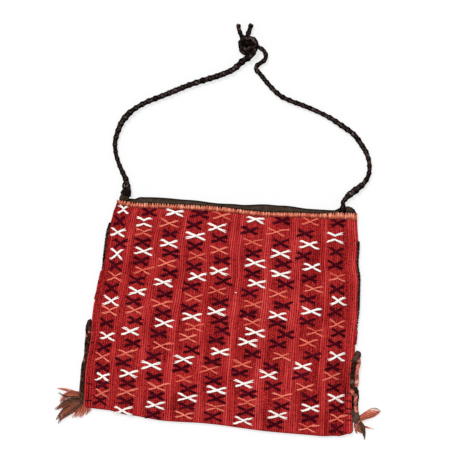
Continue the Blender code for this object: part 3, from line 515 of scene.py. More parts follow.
def cloth_shares(point):
    """The cloth's own coordinates of a place in the plane."""
    across, down = 0.5, 0.5
    for _ in range(4):
        warp = Warp(across)
        down = min(max((warp.top.y - point.y) / (warp.top.y - warp.foot.y), 0), 1)
        left = cloth_point(0, down).x
        right = cloth_point(1, down).x
        across = min(max((point.x - left) / (right - left), 0), 1)
    return across, down


def edge_depth(to_left, to_right, to_fold):
    """How far inside the sewn edge a place lies, round the corners of the base."""
    depth = min(to_left, to_right, to_fold)
    for to_side in (to_left, to_right):
        if to_side < CORNER_RADIUS and to_fold < CORNER_RADIUS:
            depth = min(depth, CORNER_RADIUS - math.hypot(CORNER_RADIUS - to_side, CORNER_RADIUS - to_fold))
    return max(depth, 0.0)


def depth_at(point):
    across, down = cloth_shares(point)
    left, right = cloth_point(0, down).x, cloth_point(1, down).x
    return edge_depth(point.x - left, right - point.x, point.y - fold_point(across).y)


def thickness_share(depth):
    part = 1 - min(depth, EDGE_ROUND) / EDGE_ROUND
    return math.sqrt(max(1 - part * part, 0))


def swell(x, y):
    """The soft unevenness of the front as it lies, mostly under a millimetre."""
    broad = noise.noise(Vector((x * 11, y * 9, 3.7)))
    fine = noise.noise(Vector((x * 34, y * 26, 8.1)))
    return 0.0013 * broad + 0.0004 * fine


def pocket_gap(depth):
    """How far the pocket stands open at a depth inside the sewn edge."""
    return POCKET_GAP * ease((depth - SEAM_WIDTH) / POCKET_RISE)


def softness(x, y, depth):
    """The unevenness of the front, which fades out towards the sewn edge."""
    return ease((depth - EDGE_ROUND) / POCKET_RISE) * swell(x, y)


def front_height(x, y, depth):
    """The front's face under its ribs."""
    return CLOTH + CLOTH * thickness_share(depth) + pocket_gap(depth) + softness(x, y, depth)


def height_at(point):
    return front_height(point.x, point.y, depth_at(point)) + RIB_RELIEF


def raised(place, height):
    """A place of the plane at a height."""
    return Vector((place.x, place.y, height))


def edge_frame(point_at, share, side):
    """A place on an edge of the pouch, the way along the edge and the way out of the cloth."""
    step = 1e-3
    along = (point_at(min(share + step, 1)) - point_at(max(share - step, 0))).normalized()
    return point_at(share), along, Vector((along.y, -along.x)) * side


def mouth_frame(share):
    return edge_frame(mouth_point, share, -1)


# Pieces
def settle(name, mesh, finish, nodes=()):
    """Makes a mesh a piece of the bag, which rides on the root and may stand for some of the solids."""
    mesh.materials.append(FINISHES[finish])
    mesh.shade_smooth()
    piece = bpy.data.objects.new(name, mesh)
    bpy.context.scene.collection.objects.link(piece)
    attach(piece, "root")
    if nodes:
        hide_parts(*nodes)
    return piece


def map_points(mesh, places):
    """A map named weave, which takes each vertex to its place in a list."""
    corners = [0] * len(mesh.loops)
    mesh.loops.foreach_get("vertex_index", corners)
    layer = mesh.uv_layers.new(name="weave")
    layer.uv.foreach_set("vector", [value for corner in corners for value in places[corner]])


def keep_values(mesh, name, values):
    """One value for each point of a mesh, which its finish reads by name."""
    mesh.attributes.new(name, "FLOAT", "POINT").data.foreach_set("value", values)


def distances(line):
    """How far along a line each of its points lies."""
    reached = [0.0]
    for before, point in zip(line, line[1:]):
        reached.append(reached[-1] + (point - before).length)
    return reached


def framed(line):
    """Each point of a line with the directions beside and above it, and its distance along."""
    above = Vector((0, 0, 1))
    frames = []
    for index, (point, distance) in enumerate(zip(line, distances(line))):
        along = (line[min(index + 1, len(line) - 1)] - line[max(index - 1, 0)]).normalized()
        above = above - along * above.dot(along)
        if above.length < 1e-4:
            above = Vector((1, 0, 0)) - along * along.x
        above = above.normalized()
        frames.append((point, along.cross(above), above, distance))
    return frames


class Strands:
    """Yarns gathered into one mesh, each with its shade and a map that runs round and along it."""

    def __init__(self):
        self.points = []
        self.faces = []
        self.shades = []
        self.maps = []

    def add(self, line, width, height=None, shade=0.5, sides=6, sizes=None):
        """One strand along its points. shade is one value, or one for each point."""
        height = height or width
        first = len(self.points)
        frames = framed(line)
        for index, (point, beside, above, _) in enumerate(frames):
            size = sizes[index] if sizes else 1.0
            for side in range(sides):
                angle = TURN * side / sides
                offset = beside * (math.cos(angle) * width / 2) + above * (math.sin(angle) * height / 2)
                self.points.append(point + offset * size)
                self.shades.append(shade if isinstance(shade, float) else shade[index])
        for index in range(len(line) - 1):
            near, far = first + index * sides, first + (index + 1) * sides
            low, high = frames[index][3] / width, frames[index + 1][3] / width
            for side in range(sides):
                after = (side + 1) % sides
                self.faces.append((near + side, far + side, far + after, near + after))
                here, there = side / sides, (side + 1) / sides
                self.maps += [here, low, here, high, there, high, there, low]
        ends = range(first, first + sides), range(len(self.points) - sides, len(self.points))
        self.faces += [tuple(ends[0]), tuple(reversed(ends[1]))]
        self.maps += [0.5, 0.0] * sides * 2

    def piece(self, name, nodes=(), finish="goat_hair", slot="goat_hair"):
        mesh = bpy.data.meshes.new(name)
        mesh.from_pydata(self.points, [], self.faces)
        mesh.uv_layers.new(name="yarn").uv.foreach_set("vector", self.maps)
        keep_values(mesh, "shade", self.shades)
        return settle(name, mesh, finish, nodes)


def smooth_route(points, step):
    """Points read at even steps from a smooth curve through given ones."""
    knots = [Vector(point) for point in points]
    ends = [2 * knots[0] - knots[1]] + knots + [2 * knots[-1] - knots[-2]]
    fine = []
    for before, start, end, after in zip(ends, ends[1:], ends[2:], ends[3:]):
        for part in range(12):
            t = part / 12
            bend = 2 * before - 5 * start + 4 * end - after
            twist = -before + 3 * start - 3 * end + after
            fine.append(0.5 * (2 * start + (end - before) * t + bend * t ** 2 + twist * t ** 3))
    fine.append(knots[-1])
    lengths = distances(fine)
    count = max(2, round(lengths[-1] / step))
    route = []
    index = 0
    for number in range(count + 1):
        target = lengths[-1] * number / count
        while index < len(fine) - 2 and lengths[index + 1] < target:
            index += 1
        part = (target - lengths[index]) / (lengths[index + 1] - lengths[index])
        route.append(fine[index].lerp(fine[index + 1], part))
    return route


PLAIT_PITCH = 0.0175
PLAIT_ORBIT = 0.00175
PLAIT_LIFT = 0.00030
PLAIT_STRAND = 0.0034
PLAIT_FLAT = 0.80


def plait(strands, line, start=0.0, sizes=None, seed=1):
    """A plait of four strands along a line. start is how far along the cord the line begins."""
    chance = random.Random(seed)
    frames = framed(line)
    sizes = sizes or [1.0] * len(line)
    for number in range(4):
        way = 1 if number < 2 else -1
        phase = math.pi * (number % 2) + (0.4 if number < 2 else 0.4 + math.pi / 2)
        tone = chance.uniform(0.06, 0.20)
        points, shade = [], []
        for size, (point, beside, above, distance) in zip(sizes, frames):
            angle = way * (TURN * (distance + start) / PLAIT_PITCH + phase)
            orbit = (PLAIT_ORBIT + way * PLAIT_LIFT * math.cos(2 * angle)) * size
            place = point + (beside * math.cos(angle) + above * (PLAIT_FLAT * math.sin(angle))) * orbit
            place.z = max(place.z, PLAIT_STRAND * PLAIT_FLAT * size / 2 + 0.0005)
            points.append(place)
            # Painted highlight: each strand is lighter where it comes up on top of the plait.
            top_highlight = max(math.sin(angle), 0.0) ** 3
            patch = noise.noise(Vector((distance * 90, number * 7.3, seed)))
            shade.append(tone + 0.42 * top_highlight + 0.34 * patch)
        strands.add(points, PLAIT_STRAND, PLAIT_STRAND * PLAIT_FLAT, shade=shade, sides=8, sizes=sizes)


# Camera, light and floor
def set_view():
    view = bpy.data.cameras.new("view")
    view.sensor_width = SENSOR_WIDTH
    view.lens = view.sensor_width * (VIEW_HEIGHT - FRONT_HEIGHT) / VIEW_WIDTH
    camera = bpy.data.objects.new("view", view)
    camera.location = (*VIEW_CENTRE, VIEW_HEIGHT)
    camera.rotation_euler = (0, 0, VIEW_TURN)
    bpy.context.scene.collection.objects.link(camera)
    bpy.context.scene.camera = camera
    bpy.context.scene.view_settings.view_transform = "Standard"


def set_light():
    world = bpy.data.worlds.new("studio")
    bpy.context.scene.world = world
    world.use_nodes = True
    backdrop = world.node_tree.nodes["Background"]
    backdrop.inputs["Color"].default_value = (1, 1, 1, 1)
    backdrop.inputs["Strength"].default_value = SKY_STRENGTH
    lamp = bpy.data.lights.new("key", "SUN")
    lamp.energy = SUN_STRENGTH
    lamp.angle = SUN_WIDTH
    key = bpy.data.objects.new("key", lamp)
    key.rotation_euler = Vector(SUN_WAY).to_track_quat("-Z", "Y").to_euler()
    bpy.context.scene.collection.objects.link(key)


def set_floor():
    """A pale floor that the camera sees nearly white, with a soft shadow."""
    bpy.ops.mesh.primitive_plane_add(size=FLOOR_SIZE, location=(0, 0, -FLOOR_DROP))
    floor = bpy.context.object
    floor.name = "floor"
    finish = Finish("pale_floor", roughness=1.0, gloss=0.5)
    finish.shader.inputs["Base Color"].default_value = (FLOOR_SHADE, FLOOR_SHADE, FLOOR_SHADE, 1)
    glow = finish.node("ShaderNodeEmission", {}, {"Color": (1, 1, 1, 1)})
    rays = [finish.node("ShaderNodeLightPath", {}, {}, f"Is {kind} Ray")
            for kind in ("Camera", "Glossy", "Transmission")]
    seen = glow.sum_with("MAXIMUM", glow.sum_with("MAXIMUM", rays[0], rays[1]), rays[2])
    lit = Line(finish, finish.shader.outputs[0])
    mixed = finish.node("ShaderNodeMixShader", {}, {0: seen * FLOOR_GLOW, 1: lit, 2: glow})
    finish.tree.links.new(mixed.socket, finish.tree.nodes["Material Output"].inputs["Surface"])
    floor.data.materials.append(finish.material)


# Strap
def anchor_exit(node):
    """The middle of the side of an anchor that its cord leaves from."""
    low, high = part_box(node)
    return Vector(((low[0] + high[0]) / 2, high[1] + CLEARANCE, (low[2] + high[2]) / 2))


CORD_STEP = 0.0012


def line_length(line):
    return distances(line)[-1]


def make_knot():
    """The two cords wound round each other, each to its way out at the top, and what fills the middle."""
    strands = Strands()
    cut = 6
    for route, size, seed in ((LEFT_KNOT, 1.12, 5), (RIGHT_KNOT, 0.95, 6)):
        line = smooth_route(route, CORD_STEP)
        plait(strands, line, sizes=[size] * (len(line) - cut) + [0.85] * cut, seed=seed)
    for route in KNOT_FILL:
        line = smooth_route(route, 0.0016)
        sizes = [0.7] + [1.0] * (len(line) - 2) + [0.7]
        strands.add(line, *KNOT_CORE, shade=0.22, sides=10, sizes=sizes)
    return strands.piece("strap_knot_plait", ("strap_knot",))


def make_tip(side_name, route, thick, seed):
    """A cord's free end: the plait, cut off blunt, and a few hairs that stick out of the cut."""
    strands = Strands()
    line = smooth_route(route, CORD_STEP)
    plait(strands, line, sizes=[thick] * len(line), seed=seed)
    chance = random.Random(seed)
    end = line[-1]
    ahead = (end - line[-4]).normalized()
    for _ in range(TIP_HAIRS):
        side = Vector([chance.uniform(-1, 1) for _ in range(3)])
        side = (side - ahead * side.dot(ahead)) * 0.0019 * thick
        reach = chance.uniform(0.0003, 0.0014)
        points = [end - ahead * 0.002 + side * 0.9, end + side, end + ahead * reach + side * 1.1]
        strands.add(points, 0.0008, shade=0.2 + 0.4 * chance.random(), sides=4, sizes=(1, 1, 0.6))
    return strands.piece(f"{side_name}_strap_tip", (f"{side_name}_strap_end",))


def make_cord(side_name, route, sizes, seed):
    """A strap cord, with the place where it leaves its anchor and its line from there to the knot."""
    exit_point = anchor_exit(f"{side_name}_strap_anchor")
    line = smooth_route((exit_point, exit_point + Vector((0, CORD_RADIUS, 0))) + route, CORD_STEP)
    strands = Strands()
    plait(strands, line, sizes=[blend(sizes, share) for share in shares(0, 1, len(line) - 1)], seed=seed)
    return strands.piece(f"{side_name}_strap_plait", (f"{side_name}_strap_cord",)), exit_point, line


def make_strap():
    knot = make_knot()
    tips = [make_tip("left", LEFT_TIP, 0.80, 11), make_tip("right", RIGHT_TIP, 0.90, 12)]
    left_cord, left_exit, left_line = make_cord("left", LEFT_CORD, LEFT_CORD_SIZES, 21)
    right_cord, right_exit, right_line = make_cord("right", RIGHT_CORD, RIGHT_CORD_SIZES, 22)
    turn = Strands()
    end = right_line[-1]
    heading = (end - right_line[-2]).normalized()
    turn_line = [end] + smooth_route((end + heading * CORD_STEP,) + KNOT_ENTRY, CORD_STEP)
    plait(turn, turn_line, start=line_length(right_line), sizes=[0.88] * len(turn_line), seed=22)
    knot_turn = turn.piece("strap_knot_turn_plait", ("strap_knot_turn",))
    loose = Strands()
    loose.add(smooth_route(LOOSE_STRAND, 0.0010), LOOSE_YARN, shade=0.18, sides=8)
    tail = loose.piece("left_strap_loose_strand")
    line_length(left_line)
    line_length(right_line)


# The cloth
def down_rows():
    """The rows of the grid, as shares of the way down: even ones, and close ones over the fold."""
    height = (LEFT_HEIGHT + RIGHT_HEIGHT) / 2
    even = shares(0, 1 - FOLD_ROWS[-1] / height, PICK_ROWS)
    return even + [1 - distance / height for distance in reversed(FOLD_ROWS[:-1])]


def band_share(across, down):
    """How far a place lies in a plain band between two columns of crosses, 0 to 1."""
    middles = [start + (end - start) * down for start, end, _, _, _ in COLUMNS]
    nearest = min(abs(across - middle) for middle in middles)
    return ease((nearest - COLUMN_HALF) / BAND_FADE)


class Shell:
    """The folded cloth as one closed skin: front, back, the pocket inside, and the rim round its mouth."""

    def __init__(self):
        self.points = []
        self.faces = []
        self.maps = []
        self.places = []
        self.columns = shares(0, 1, RIBS * POINTS_A_RIB)
        self.rows = down_rows()
        self.warps = [Warp(across) for across in self.columns]

    def point(self, x, y, z, across, down):
        self.points.append((x, y, z))
        self.places.append((across, down))
        return len(self.points) - 1

    def face(self, *corners):
        self.faces.append(corners)

    def laid(self, column, row):
        """The plane place of a grid point and its depth inside the sewn edge."""
        down = self.rows[row]
        left_bulge, right_bulge = bulges(down)
        place = self.warps[column].at(down, left_bulge, right_bulge)
        left = self.warps[0].at(down, left_bulge, right_bulge).x
        right = self.warps[-1].at(down, left_bulge, right_bulge).x
        to_fold = place.y - self.warps[column].foot.y
        if to_fold < CORNER_RADIUS:
            inset = CORNER_RADIUS - math.sqrt(CORNER_RADIUS ** 2 - (CORNER_RADIUS - to_fold) ** 2)
            reach = 3 * CORNER_RADIUS
            place.x += inset * max(0, 1 - (place.x - left) / reach)
            place.x -= inset * max(0, 1 - (right - place.x) / reach)
        depth = edge_depth(place.x - left, right - place.x, to_fold)
        if column in (0, len(self.columns) - 1) or row == len(self.rows) - 1:
            depth = 0.0
        return place, depth

    def build(self):
        last_column, last_row = len(self.columns) - 1, len(self.rows) - 1
        front, back = [], []
        for row in range(last_row + 1):
            front_row, back_row = [], []
            for column in range(last_column + 1):
                place, depth = self.laid(column, row)
                across, down = self.columns[column], self.rows[row]
                crown = RIB_RELIEF * (0.5 - 0.5 * math.cos(TURN * RIBS * across))
                shown = ease(depth / EDGE_ROUND)
                top = front_height(place.x, place.y, depth) + crown * shown
                front_row.append(self.point(place.x, place.y, top, across, down))
                if depth == 0.0 and (column in (0, last_column) or row == last_row):
                    back_row.append(front_row[-1])
                else:
                    under = CLOTH * (1 - thickness_share(depth)) + (RIB_RELIEF - crown) * shown
                    back_row.append(self.point(place.x, place.y, under, across, down))
            front.append(front_row)
            back.append(back_row)
        for row in range(last_row):
            for column in range(last_column):
                self.face(front[row][column], front[row + 1][column], front[row + 1][column + 1],
                          front[row][column + 1])
                self.face(back[row][column], back[row][column + 1], back[row + 1][column + 1],
                          back[row + 1][column])
        self.pocket(front[0], back[0])

    def pocket(self, front, back):
        """The rim, and the two inner faces, which meet along the inside of the seams."""
        first = next(index for index, across in enumerate(self.columns) if across * MOUTH_WIDTH >= SEAM_WIDTH)
        last = len(self.columns) - 1 - first
        stations = list(range(first, last, POCKET_STEP)) + [last]

        def pair(column, down):
            """The pocket's ceiling and floor at one place. At its closed edge they are one point."""
            across = self.columns[column]
            deep = down * (1 - SEAM_WIDTH / LEFT_HEIGHT)
            place = self.warps[column].at(deep, *bulges(deep))
            left, right = cloth_point(0, deep).x, cloth_point(1, deep).x
            depth = min(place.x - left, right - place.x, place.y - self.warps[column].foot.y)
            closed = column in (first, last) or down == 1
            gap = 0.0 if closed else pocket_gap(depth)
            if gap < 1e-6:
                both = self.point(place.x, place.y, CLOTH, across, deep)
                return both, both
            ceiling = CLOTH + gap + softness(place.x, place.y, depth)
            return (self.point(place.x, place.y, ceiling, across, deep),
                    self.point(place.x, place.y, CLOTH, across, deep))

        rim = {column: pair(column, 0) for column in range(first, last + 1)}
        previous = None
        for down in shares(0, 1, POCKET_ROWS)[1:]:
            row = {column: pair(column, down) for column in stations}
            for start, end in zip(stations, stations[1:]):
                if previous is None:
                    between = range(start, end + 1)
                    self.face(*[rim[column][0] for column in between], row[end][0], row[start][0])
                    self.face(*[rim[column][1] for column in reversed(between)], row[start][1], row[end][1])
                else:
                    self.sheet_face(previous[start][0], previous[end][0], row[end][0], row[start][0])
                    self.sheet_face(previous[end][1], previous[start][1], row[start][1], row[end][1])
            previous = row
        for column in range(len(self.columns) - 1):
            after = column + 1
            if first <= column < last:
                self.sheet_face(front[column], front[after], rim[after][0], rim[column][0])
                self.sheet_face(rim[column][1], rim[after][1], back[after], back[column])
            elif after == first:
                self.face(front[column], front[after], rim[after][0], back[after], back[column])
            elif column == last:
                self.face(front[column], front[after], back[after], back[column], rim[column][0])
            else:
                self.sheet_face(front[column], front[after], back[after], back[column])

    def sheet_face(self, *corners):
        kept = list(dict.fromkeys(corners))
        if len(kept) > 2:
            self.face(*kept)

    def piece(self):
        mesh = bpy.data.meshes.new("kilim_cloth")
        mesh.from_pydata(self.points, [], self.faces)
        map_points(mesh, self.places)
        keep_values(mesh, "band", [band_share(across, down) for across, down in self.places])
        keep_values(mesh, "side", [1 - ease(min(across, 1 - across) / 0.16) for across, _ in self.places])
        return settle("kilim_cloth", mesh, "cloth", ("kilim_body",))


# The brocaded crosses
def ivory_rows(column, rows):
    """Every fourth row, one row higher in each column to the right, with the weaver's slips."""
    regular = [row for row in range(rows) if row % REPEAT == (column - 1) % REPEAT]
    moved = [MOVED_IVORY.get((column, row), row) for row in regular]
    return sorted(moved + [row for place, row in ADDED_IVORY if place == column])


def cross_colours(column, rows):
    """Ivory rows, an apricot row midway between them, and plum for all others, from the fold up."""
    other = {"plum": "apricot", "apricot": "plum"}
    ivory = ivory_rows(column, rows)
    apricot = [ivory[0] - REPEAT // 2, ivory[-1] + REPEAT // 2]
    apricot += [(low + high + 1) // 2 for low, high in zip(ivory, ivory[1:]) if high - low > REPEAT // 2]
    colours = []
    for row in range(rows):
        colour = "ivory" if row in ivory else "apricot" if row in apricot else "plum"
        colours.append(other[colour] if (column, row) in CHANGED_OVER else colour)
    return colours


def column_point(column, share):
    """A point of a column, by its share of the way down from the mouth to the fold."""
    at_mouth, at_fold, _, fold_margin, low = COLUMNS[column]
    top = mouth_point(at_mouth) - Vector((0, CROSS_MOUTH_MARGIN))
    foot = fold_point(at_fold) + Vector((0, fold_margin))
    across = at_mouth + (at_fold - at_mouth) * share
    bulge = across * blend(RIGHT_WAVE, share) - (1 - across) * blend(LEFT_WAVE, share)
    return top.lerp(foot, share) + Vector((bulge, -4 * low * share * (1 - share)))


def stray(column, row):
    """How far a cross lies from its place in the column, as its row and its column have strayed."""
    rows = COLUMNS[column][2]
    share = row / (rows - 1)
    full = len(ROW_SLIPS)
    counted = row if row < full // 2 else row + full - rows
    taken, bow, lean = COLUMN_SWAYS[column]
    right = taken * ROW_SLIPS[counted] + 4 * bow * share * (1 - share) + LONE_SLIPS.get((column, row), 0)
    up = ROW_RISES[counted] + lean * math.sin(TURN * share)
    return Vector((right, up)) * STRAY


# How each colour is stitched: strands in an arm, their width and height, how far they spread at the
# arm's ends and at the middle, the length of an arm against the full one, and how far an end may
# stop short
STITCHES = {
    "ivory": (2, 0.00148, 0.0011, 0.00140, 0.00090, 1.0, 0.0013),
    "plum": (4, 0.00108, 0.0008, 0.00104, 0.00056, 0.93, 0.0019),
    "apricot": (2, 0.00102, 0.0008, 0.00120, 0.00075, 0.98, 0.0013),
}
ARM_STEPS = 10
# Two single stitches away from the crosses
LONE_DOTS = ((0.1540, 0.0745), (0.0085, 0.0295))
# Half the length and half the height of the crosses in each column
CROSS_REACHES = (0.0094, 0.0108, 0.0114, 0.0115, 0.0116, 0.0117, 0.0117, 0.0112, 0.0101)
CROSS_RISES = (0.0047, 0.0042, 0.0041, 0.0041, 0.0041, 0.0041, 0.0041, 0.0041, 0.0044)
# Crosses unlike the rest: their length, the rise of the upper and of the lower arms, and how far the
# two arms stay apart at the middle
ODD_CROSSES = {
    (0, 18): (0.72, 0.85, 1.0, 0.0006), (0, 17): (0.9, 1.1, 1.1, 0), (0, 14): (0.82, 1.25, 1.25, 0),
    (1, 19): (0.92, 1.3, 1.25, 0.0019), (2, 20): (0.95, 0.7, 1.0, 0), (5, 20): (0.95, 0.5, 1.1, 0),
    (8, 17): (0.95, 1.35, 1.35, 0.0024),
}


def stitch(strands, ends, middle, colour, over, chance):
    """One arm of a cross. Its strands dive into the cloth at both ends and cross the other arm between."""
    count, width, height, spread, pinch, _, ragged = STITCHES[colour]
    start, end = ends
    along = (end - start).normalized()
    side = Vector((-along.y, along.x))
    fan = [spread * chance.uniform(0.7, 1.25), pinch * chance.uniform(0.8, 1.1),
           spread * chance.uniform(0.7, 1.35)]
    bow = chance.uniform(-0.0004, 0.0004)
    for number in range(count):
        place = number - (count - 1) / 2
        shorten = [chance.uniform(-0.0008, ragged), chance.uniform(-0.0008, ragged)]
        waves = [chance.uniform(-0.00035, 0.00035) for _ in range(ARM_STEPS + 1)]
        points = []
        for step, share in enumerate(shares(0, 1, ARM_STEPS)):
            half = abs(2 * share - 1)
            outer = start if share < 0.5 else end
            steep = 1.32 * half - 0.32 * half ** 3
            point = Vector((middle.x + (outer.x - middle.x) * half, middle.y + (outer.y - middle.y) * steep))
            point += along * (shorten[0] * half * (share < 0.5) - shorten[1] * half * (share > 0.5))
            wide = fan[1] + (fan[0 if share < 0.5 else 2] - fan[1]) * half ** 1.3
            point += side * (place * wide + bow * math.sin(math.pi * share) + waves[step])
            sunk = ease(min(share, 1 - share) / 0.14)
            lift = -0.0005 + 0.0010 * sunk + (0.0009 if over else 0.0) * math.exp(-(half / 0.28) ** 2)
            points.append(raised(point, height_at(point) + lift))
        sizes = [0.62, 0.95] + [1.0] * (ARM_STEPS - 3) + [0.95, 0.66]
        tone = chance.uniform(0.25, 0.75)
        if colour == "plum":
            tone += 0.24 if abs(place) > 1 else -0.06
        if colour == "ivory":
            tone += 0.22
        strands.add(points, width * chance.uniform(0.88, 1.1), height, shade=tone, sizes=sizes)


def make_cross(strands, centre, column, row, colour, chance):
    length, up, down, apart = ODD_CROSSES.get((column, row), (1, 1, 1, None))
    if apart is None:
        apart = 0.0 if colour == "ivory" else chance.choice((0, 0, 0.0004, 0.0008))
    reach = CROSS_REACHES[column] * STITCHES[colour][5] * length * chance.uniform(0.95, 1.05)
    rise = CROSS_RISES[column] * chance.uniform(0.92, 1.08)

    def tip(side, way):
        miss = Vector((chance.uniform(-0.0009, 0.0009), chance.uniform(-0.0006, 0.0006)))
        return centre + Vector((side * reach, rise * (up if way > 0 else -down))) + miss

    if apart:
        upper, lower = centre + Vector((0, apart)), centre - Vector((0, apart))
        stitch(strands, (tip(-1, -1), tip(1, -1)), lower, colour, False, chance)
        stitch(strands, (tip(-1, 1), tip(1, 1)), upper, colour, apart < 0.001, chance)
    else:
        middle = centre + Vector((chance.uniform(-0.0008, 0.0008), chance.uniform(-0.0003, 0.0003)))
        stitch(strands, (tip(-1, 1), tip(1, -1)), middle, colour, False, chance)
        stitch(strands, (tip(-1, -1), tip(1, 1)), middle, colour, True, chance)
    if colour == "ivory" and chance.random() < 0.3:
        stitch_dot(strands, centre + Vector((reach * 0.86, -rise)), 0.0036, 0.0020, chance)


def stitch_dot(strands, centre, length, width, chance):
    """A short thick stitch, where a yarn turns back."""
    way = Vector((1, chance.uniform(-0.5, 0.1))).normalized() * length / 2
    points = []
    for share in shares(-1, 1, 4):
        point = centre + way * share
        points.append(raised(point, height_at(point) + 0.0006 - 0.0010 * abs(share) ** 3))
    strands.add(points, width, 0.0013, shade=0.6, sizes=(0.5, 0.95, 1, 0.95, 0.5))


def make_crosses():
    gathered = {colour: Strands() for colour in STITCHES}
    apricots = []
    for column, (_, _, rows, _, _) in enumerate(COLUMNS):
        for row, colour in enumerate(cross_colours(column, rows)):
            place = column_point(column, 1 - row / (rows - 1)) + stray(column, row)
            chance = random.Random(1000 * column + row)
            make_cross(gathered[colour], place, column, row, colour, chance)
            if colour == "apricot":
                apricots.append((column, row, place))
    chance = random.Random(77)
    for column, row, place in apricots:
        if chance.random() < 0.14:
            reach = Vector((chance.uniform(0.008, 0.013), chance.uniform(0.001, 0.0040)))
            start = place + Vector((0.004, 0.0025))
            stitch(gathered["apricot"], (start, start + reach), start + reach * 0.5, "apricot", False, chance)
    for spot in LONE_DOTS:
        stitch_dot(gathered["ivory"], Vector(spot), 0.0022, 0.0012, chance)
    for colour, strands in gathered.items():
        strands.piece(f"{colour}_crosses", finish=colour, slot="apricot" if colour == "apricot" else None)


# Trim along the mouth
def edging_width(share):
    start, end = EDGING_WIDENS
    return EDGING_WIDTH + (EDGING_CORNER_WIDTH - EDGING_WIDTH) * ease((share - start) / (end - start))


def wrapped(point, outwards, lean, middle, section, lowest=0.0):
    """A yarn's way round an edge through its section there, which leans along the edge."""
    line = []
    for index, (reach, height) in enumerate(section):
        place = point + outwards * reach + lean * (index / (len(section) - 1) - middle)
        line.append(raised(place, max(height, lowest)))
    return smooth_route(line, 0.0010)


def edging_frame(share):
    """The frame of the mouth, with the height of the front's face and of its underside there."""
    point, along, outwards = mouth_frame(share)
    depth = depth_at(point - outwards * 0.001)
    foot = max(CLOTH + pocket_gap(depth), CLOTH + CLEARANCE)
    return point, along, outwards, front_height(point.x, point.y, depth), foot


def make_edging():
    """Overcasting in thick apricot yarn over the front's raw edge, with the edge itself inside it."""
    strands = Strands()
    chance = random.Random(31)
    core, sizes = [], []
    for share in shares(0.006, 0.994, 120):
        point, _, outwards, top, foot = edging_frame(share)
        core.append(raised(point + outwards * edging_width(share) * 0.42, (top + foot) / 2))
        sizes.append(edging_width(share) / EDGING_WIDTH)
    strands.add(core, *EDGING_CORE, shade=0.45, sides=10, sizes=sizes)
    for number in range(EDGING_TURNS):
        share = 0.003 + 0.994 * (number + 0.5 + chance.uniform(-0.3, 0.3)) / EDGING_TURNS
        point, along, outwards, top, foot = edging_frame(share)
        top += RIB_RELIEF
        tooth = (share * MOUTH_WIDTH / TOOTH_PITCH + chance.uniform(-0.12, 0.12)) % 1 < 0.52
        uneven = 1 - 0.75 * ease((share - 0.35) / 0.20)
        if tooth:
            wide = 0.96 + uneven * chance.uniform(0.08, 0.26)
        else:
            wide = 0.94 - uneven * chance.uniform(0.10, 0.22)
        wide *= edging_width(share)
        inset = chance.uniform(-0.0002, 0.0006)
        lean = along * chance.uniform(0.0002, 0.0008)
        section = ((-inset - 0.0006, top - 0.0004), (-inset, top + 0.0005), (0.25 * wide, top + 0.0008),
                   (0.75 * wide, top + 0.0004), (wide, (top * 2 + foot) / 3),
                   (wide * 0.97, (top + foot * 2) / 3), (0.7 * wide, foot - 0.0002),
                   (0.1 * wide, foot - 0.0003), (-inset, foot + 0.0006))
        line = wrapped(point, outwards, lean, 0.3, section, CLOTH + CLEARANCE + 0.0008)
        tone = chance.uniform(0.50, 0.80) + 0.10 * noise.noise(Vector((share * 30, 5.0, 0)))
        tone -= 0 if tooth else 0.08
        if share > PALE_FROM and chance.random() < 0.09:
            tone = 0.97
        else:
            tone -= 0.16 * ease((0.07 - share) / 0.05)
        fade = chance.uniform(0, 0.15) if tooth else chance.uniform(0.2, 0.5)
        shade = []
        for place in line:
            reach = (place.xy - point).dot(outwards) / wide
            lit = tone * (0.60 + 0.50 * ease(reach / 0.55))
            shade.append(max(lit - fade * ease((reach - 0.66) / 0.14), 0.02))
        strands.add(line, *EDGING_YARN, shade=shade, sides=5)
    strands.piece("mouth_overcasting", ("front_mouth_edging",), "edging", "apricot")


def make_band():
    """The dark end band of the back, in a plain weave, with its turned edge."""
    points, faces, maps = [], [], []
    for number, share in enumerate(shares(0.004, 0.996, 300)):
        point, _, outwards = mouth_frame(share)
        far = CLEARANCE + blend(BAND_REACH, share)
        across = shares(-0.0012, far - 0.0009, 9)
        weave = BAND_WEAVE * (1 if number % 2 else -1)
        section = [(reach, CLOTH - 0.0002 + weave * (1 if index % 2 else -1))
                   for index, reach in enumerate(across)]
        section += [(far - 0.0002, CLOTH + 0.0001), (far + 0.0002, CLOTH * 0.5), (far - 0.0004, 0.0003)]
        section += [(reach, 0.0001 + abs(weave) * (index % 2))
                    for index, reach in enumerate(reversed(across[::3]))]
        for reach, height in section:
            place = point + outwards * reach
            points.append((place.x, place.y, height if reach > 0 else min(height, CLOTH - 0.0001)))
            maps.append((share * MOUTH_WIDTH / CHECK_SIZE, reach / CHECK_SIZE))
    count = len(section)
    for ring in range(0, len(points) - count, count):
        for index in range(count):
            after = (index + 1) % count
            faces.append((ring + index, ring + after, ring + count + after, ring + count + index))
    faces.append(tuple(reversed(range(count))))
    faces.append(tuple(range(len(points) - count, len(points))))
    mesh = bpy.data.meshes.new("mouth_band")
    mesh.from_pydata(points, [], faces)
    map_points(mesh, maps)
    settle("mouth_band", mesh, "band", ("back_mouth_band",))
    line = []
    for share in shares(0.006, 0.994, 200):
        point, _, outwards = mouth_frame(share)
        line.append(raised(point + outwards * (blend(BAND_REACH, share) + 0.0001), 0.0021))
    edge = Strands()
    edge.add(line, *BAND_CORD, shade=0.4, sides=8)
    edge.piece("mouth_band_edge")


# Sides
SIDES = {"left": (left_point, 1), "right": (right_point, -1)}


def side_share(point_at, height):
    top, foot = point_at(0), point_at(1)
    return (top.y - height) / (top.y - foot.y)


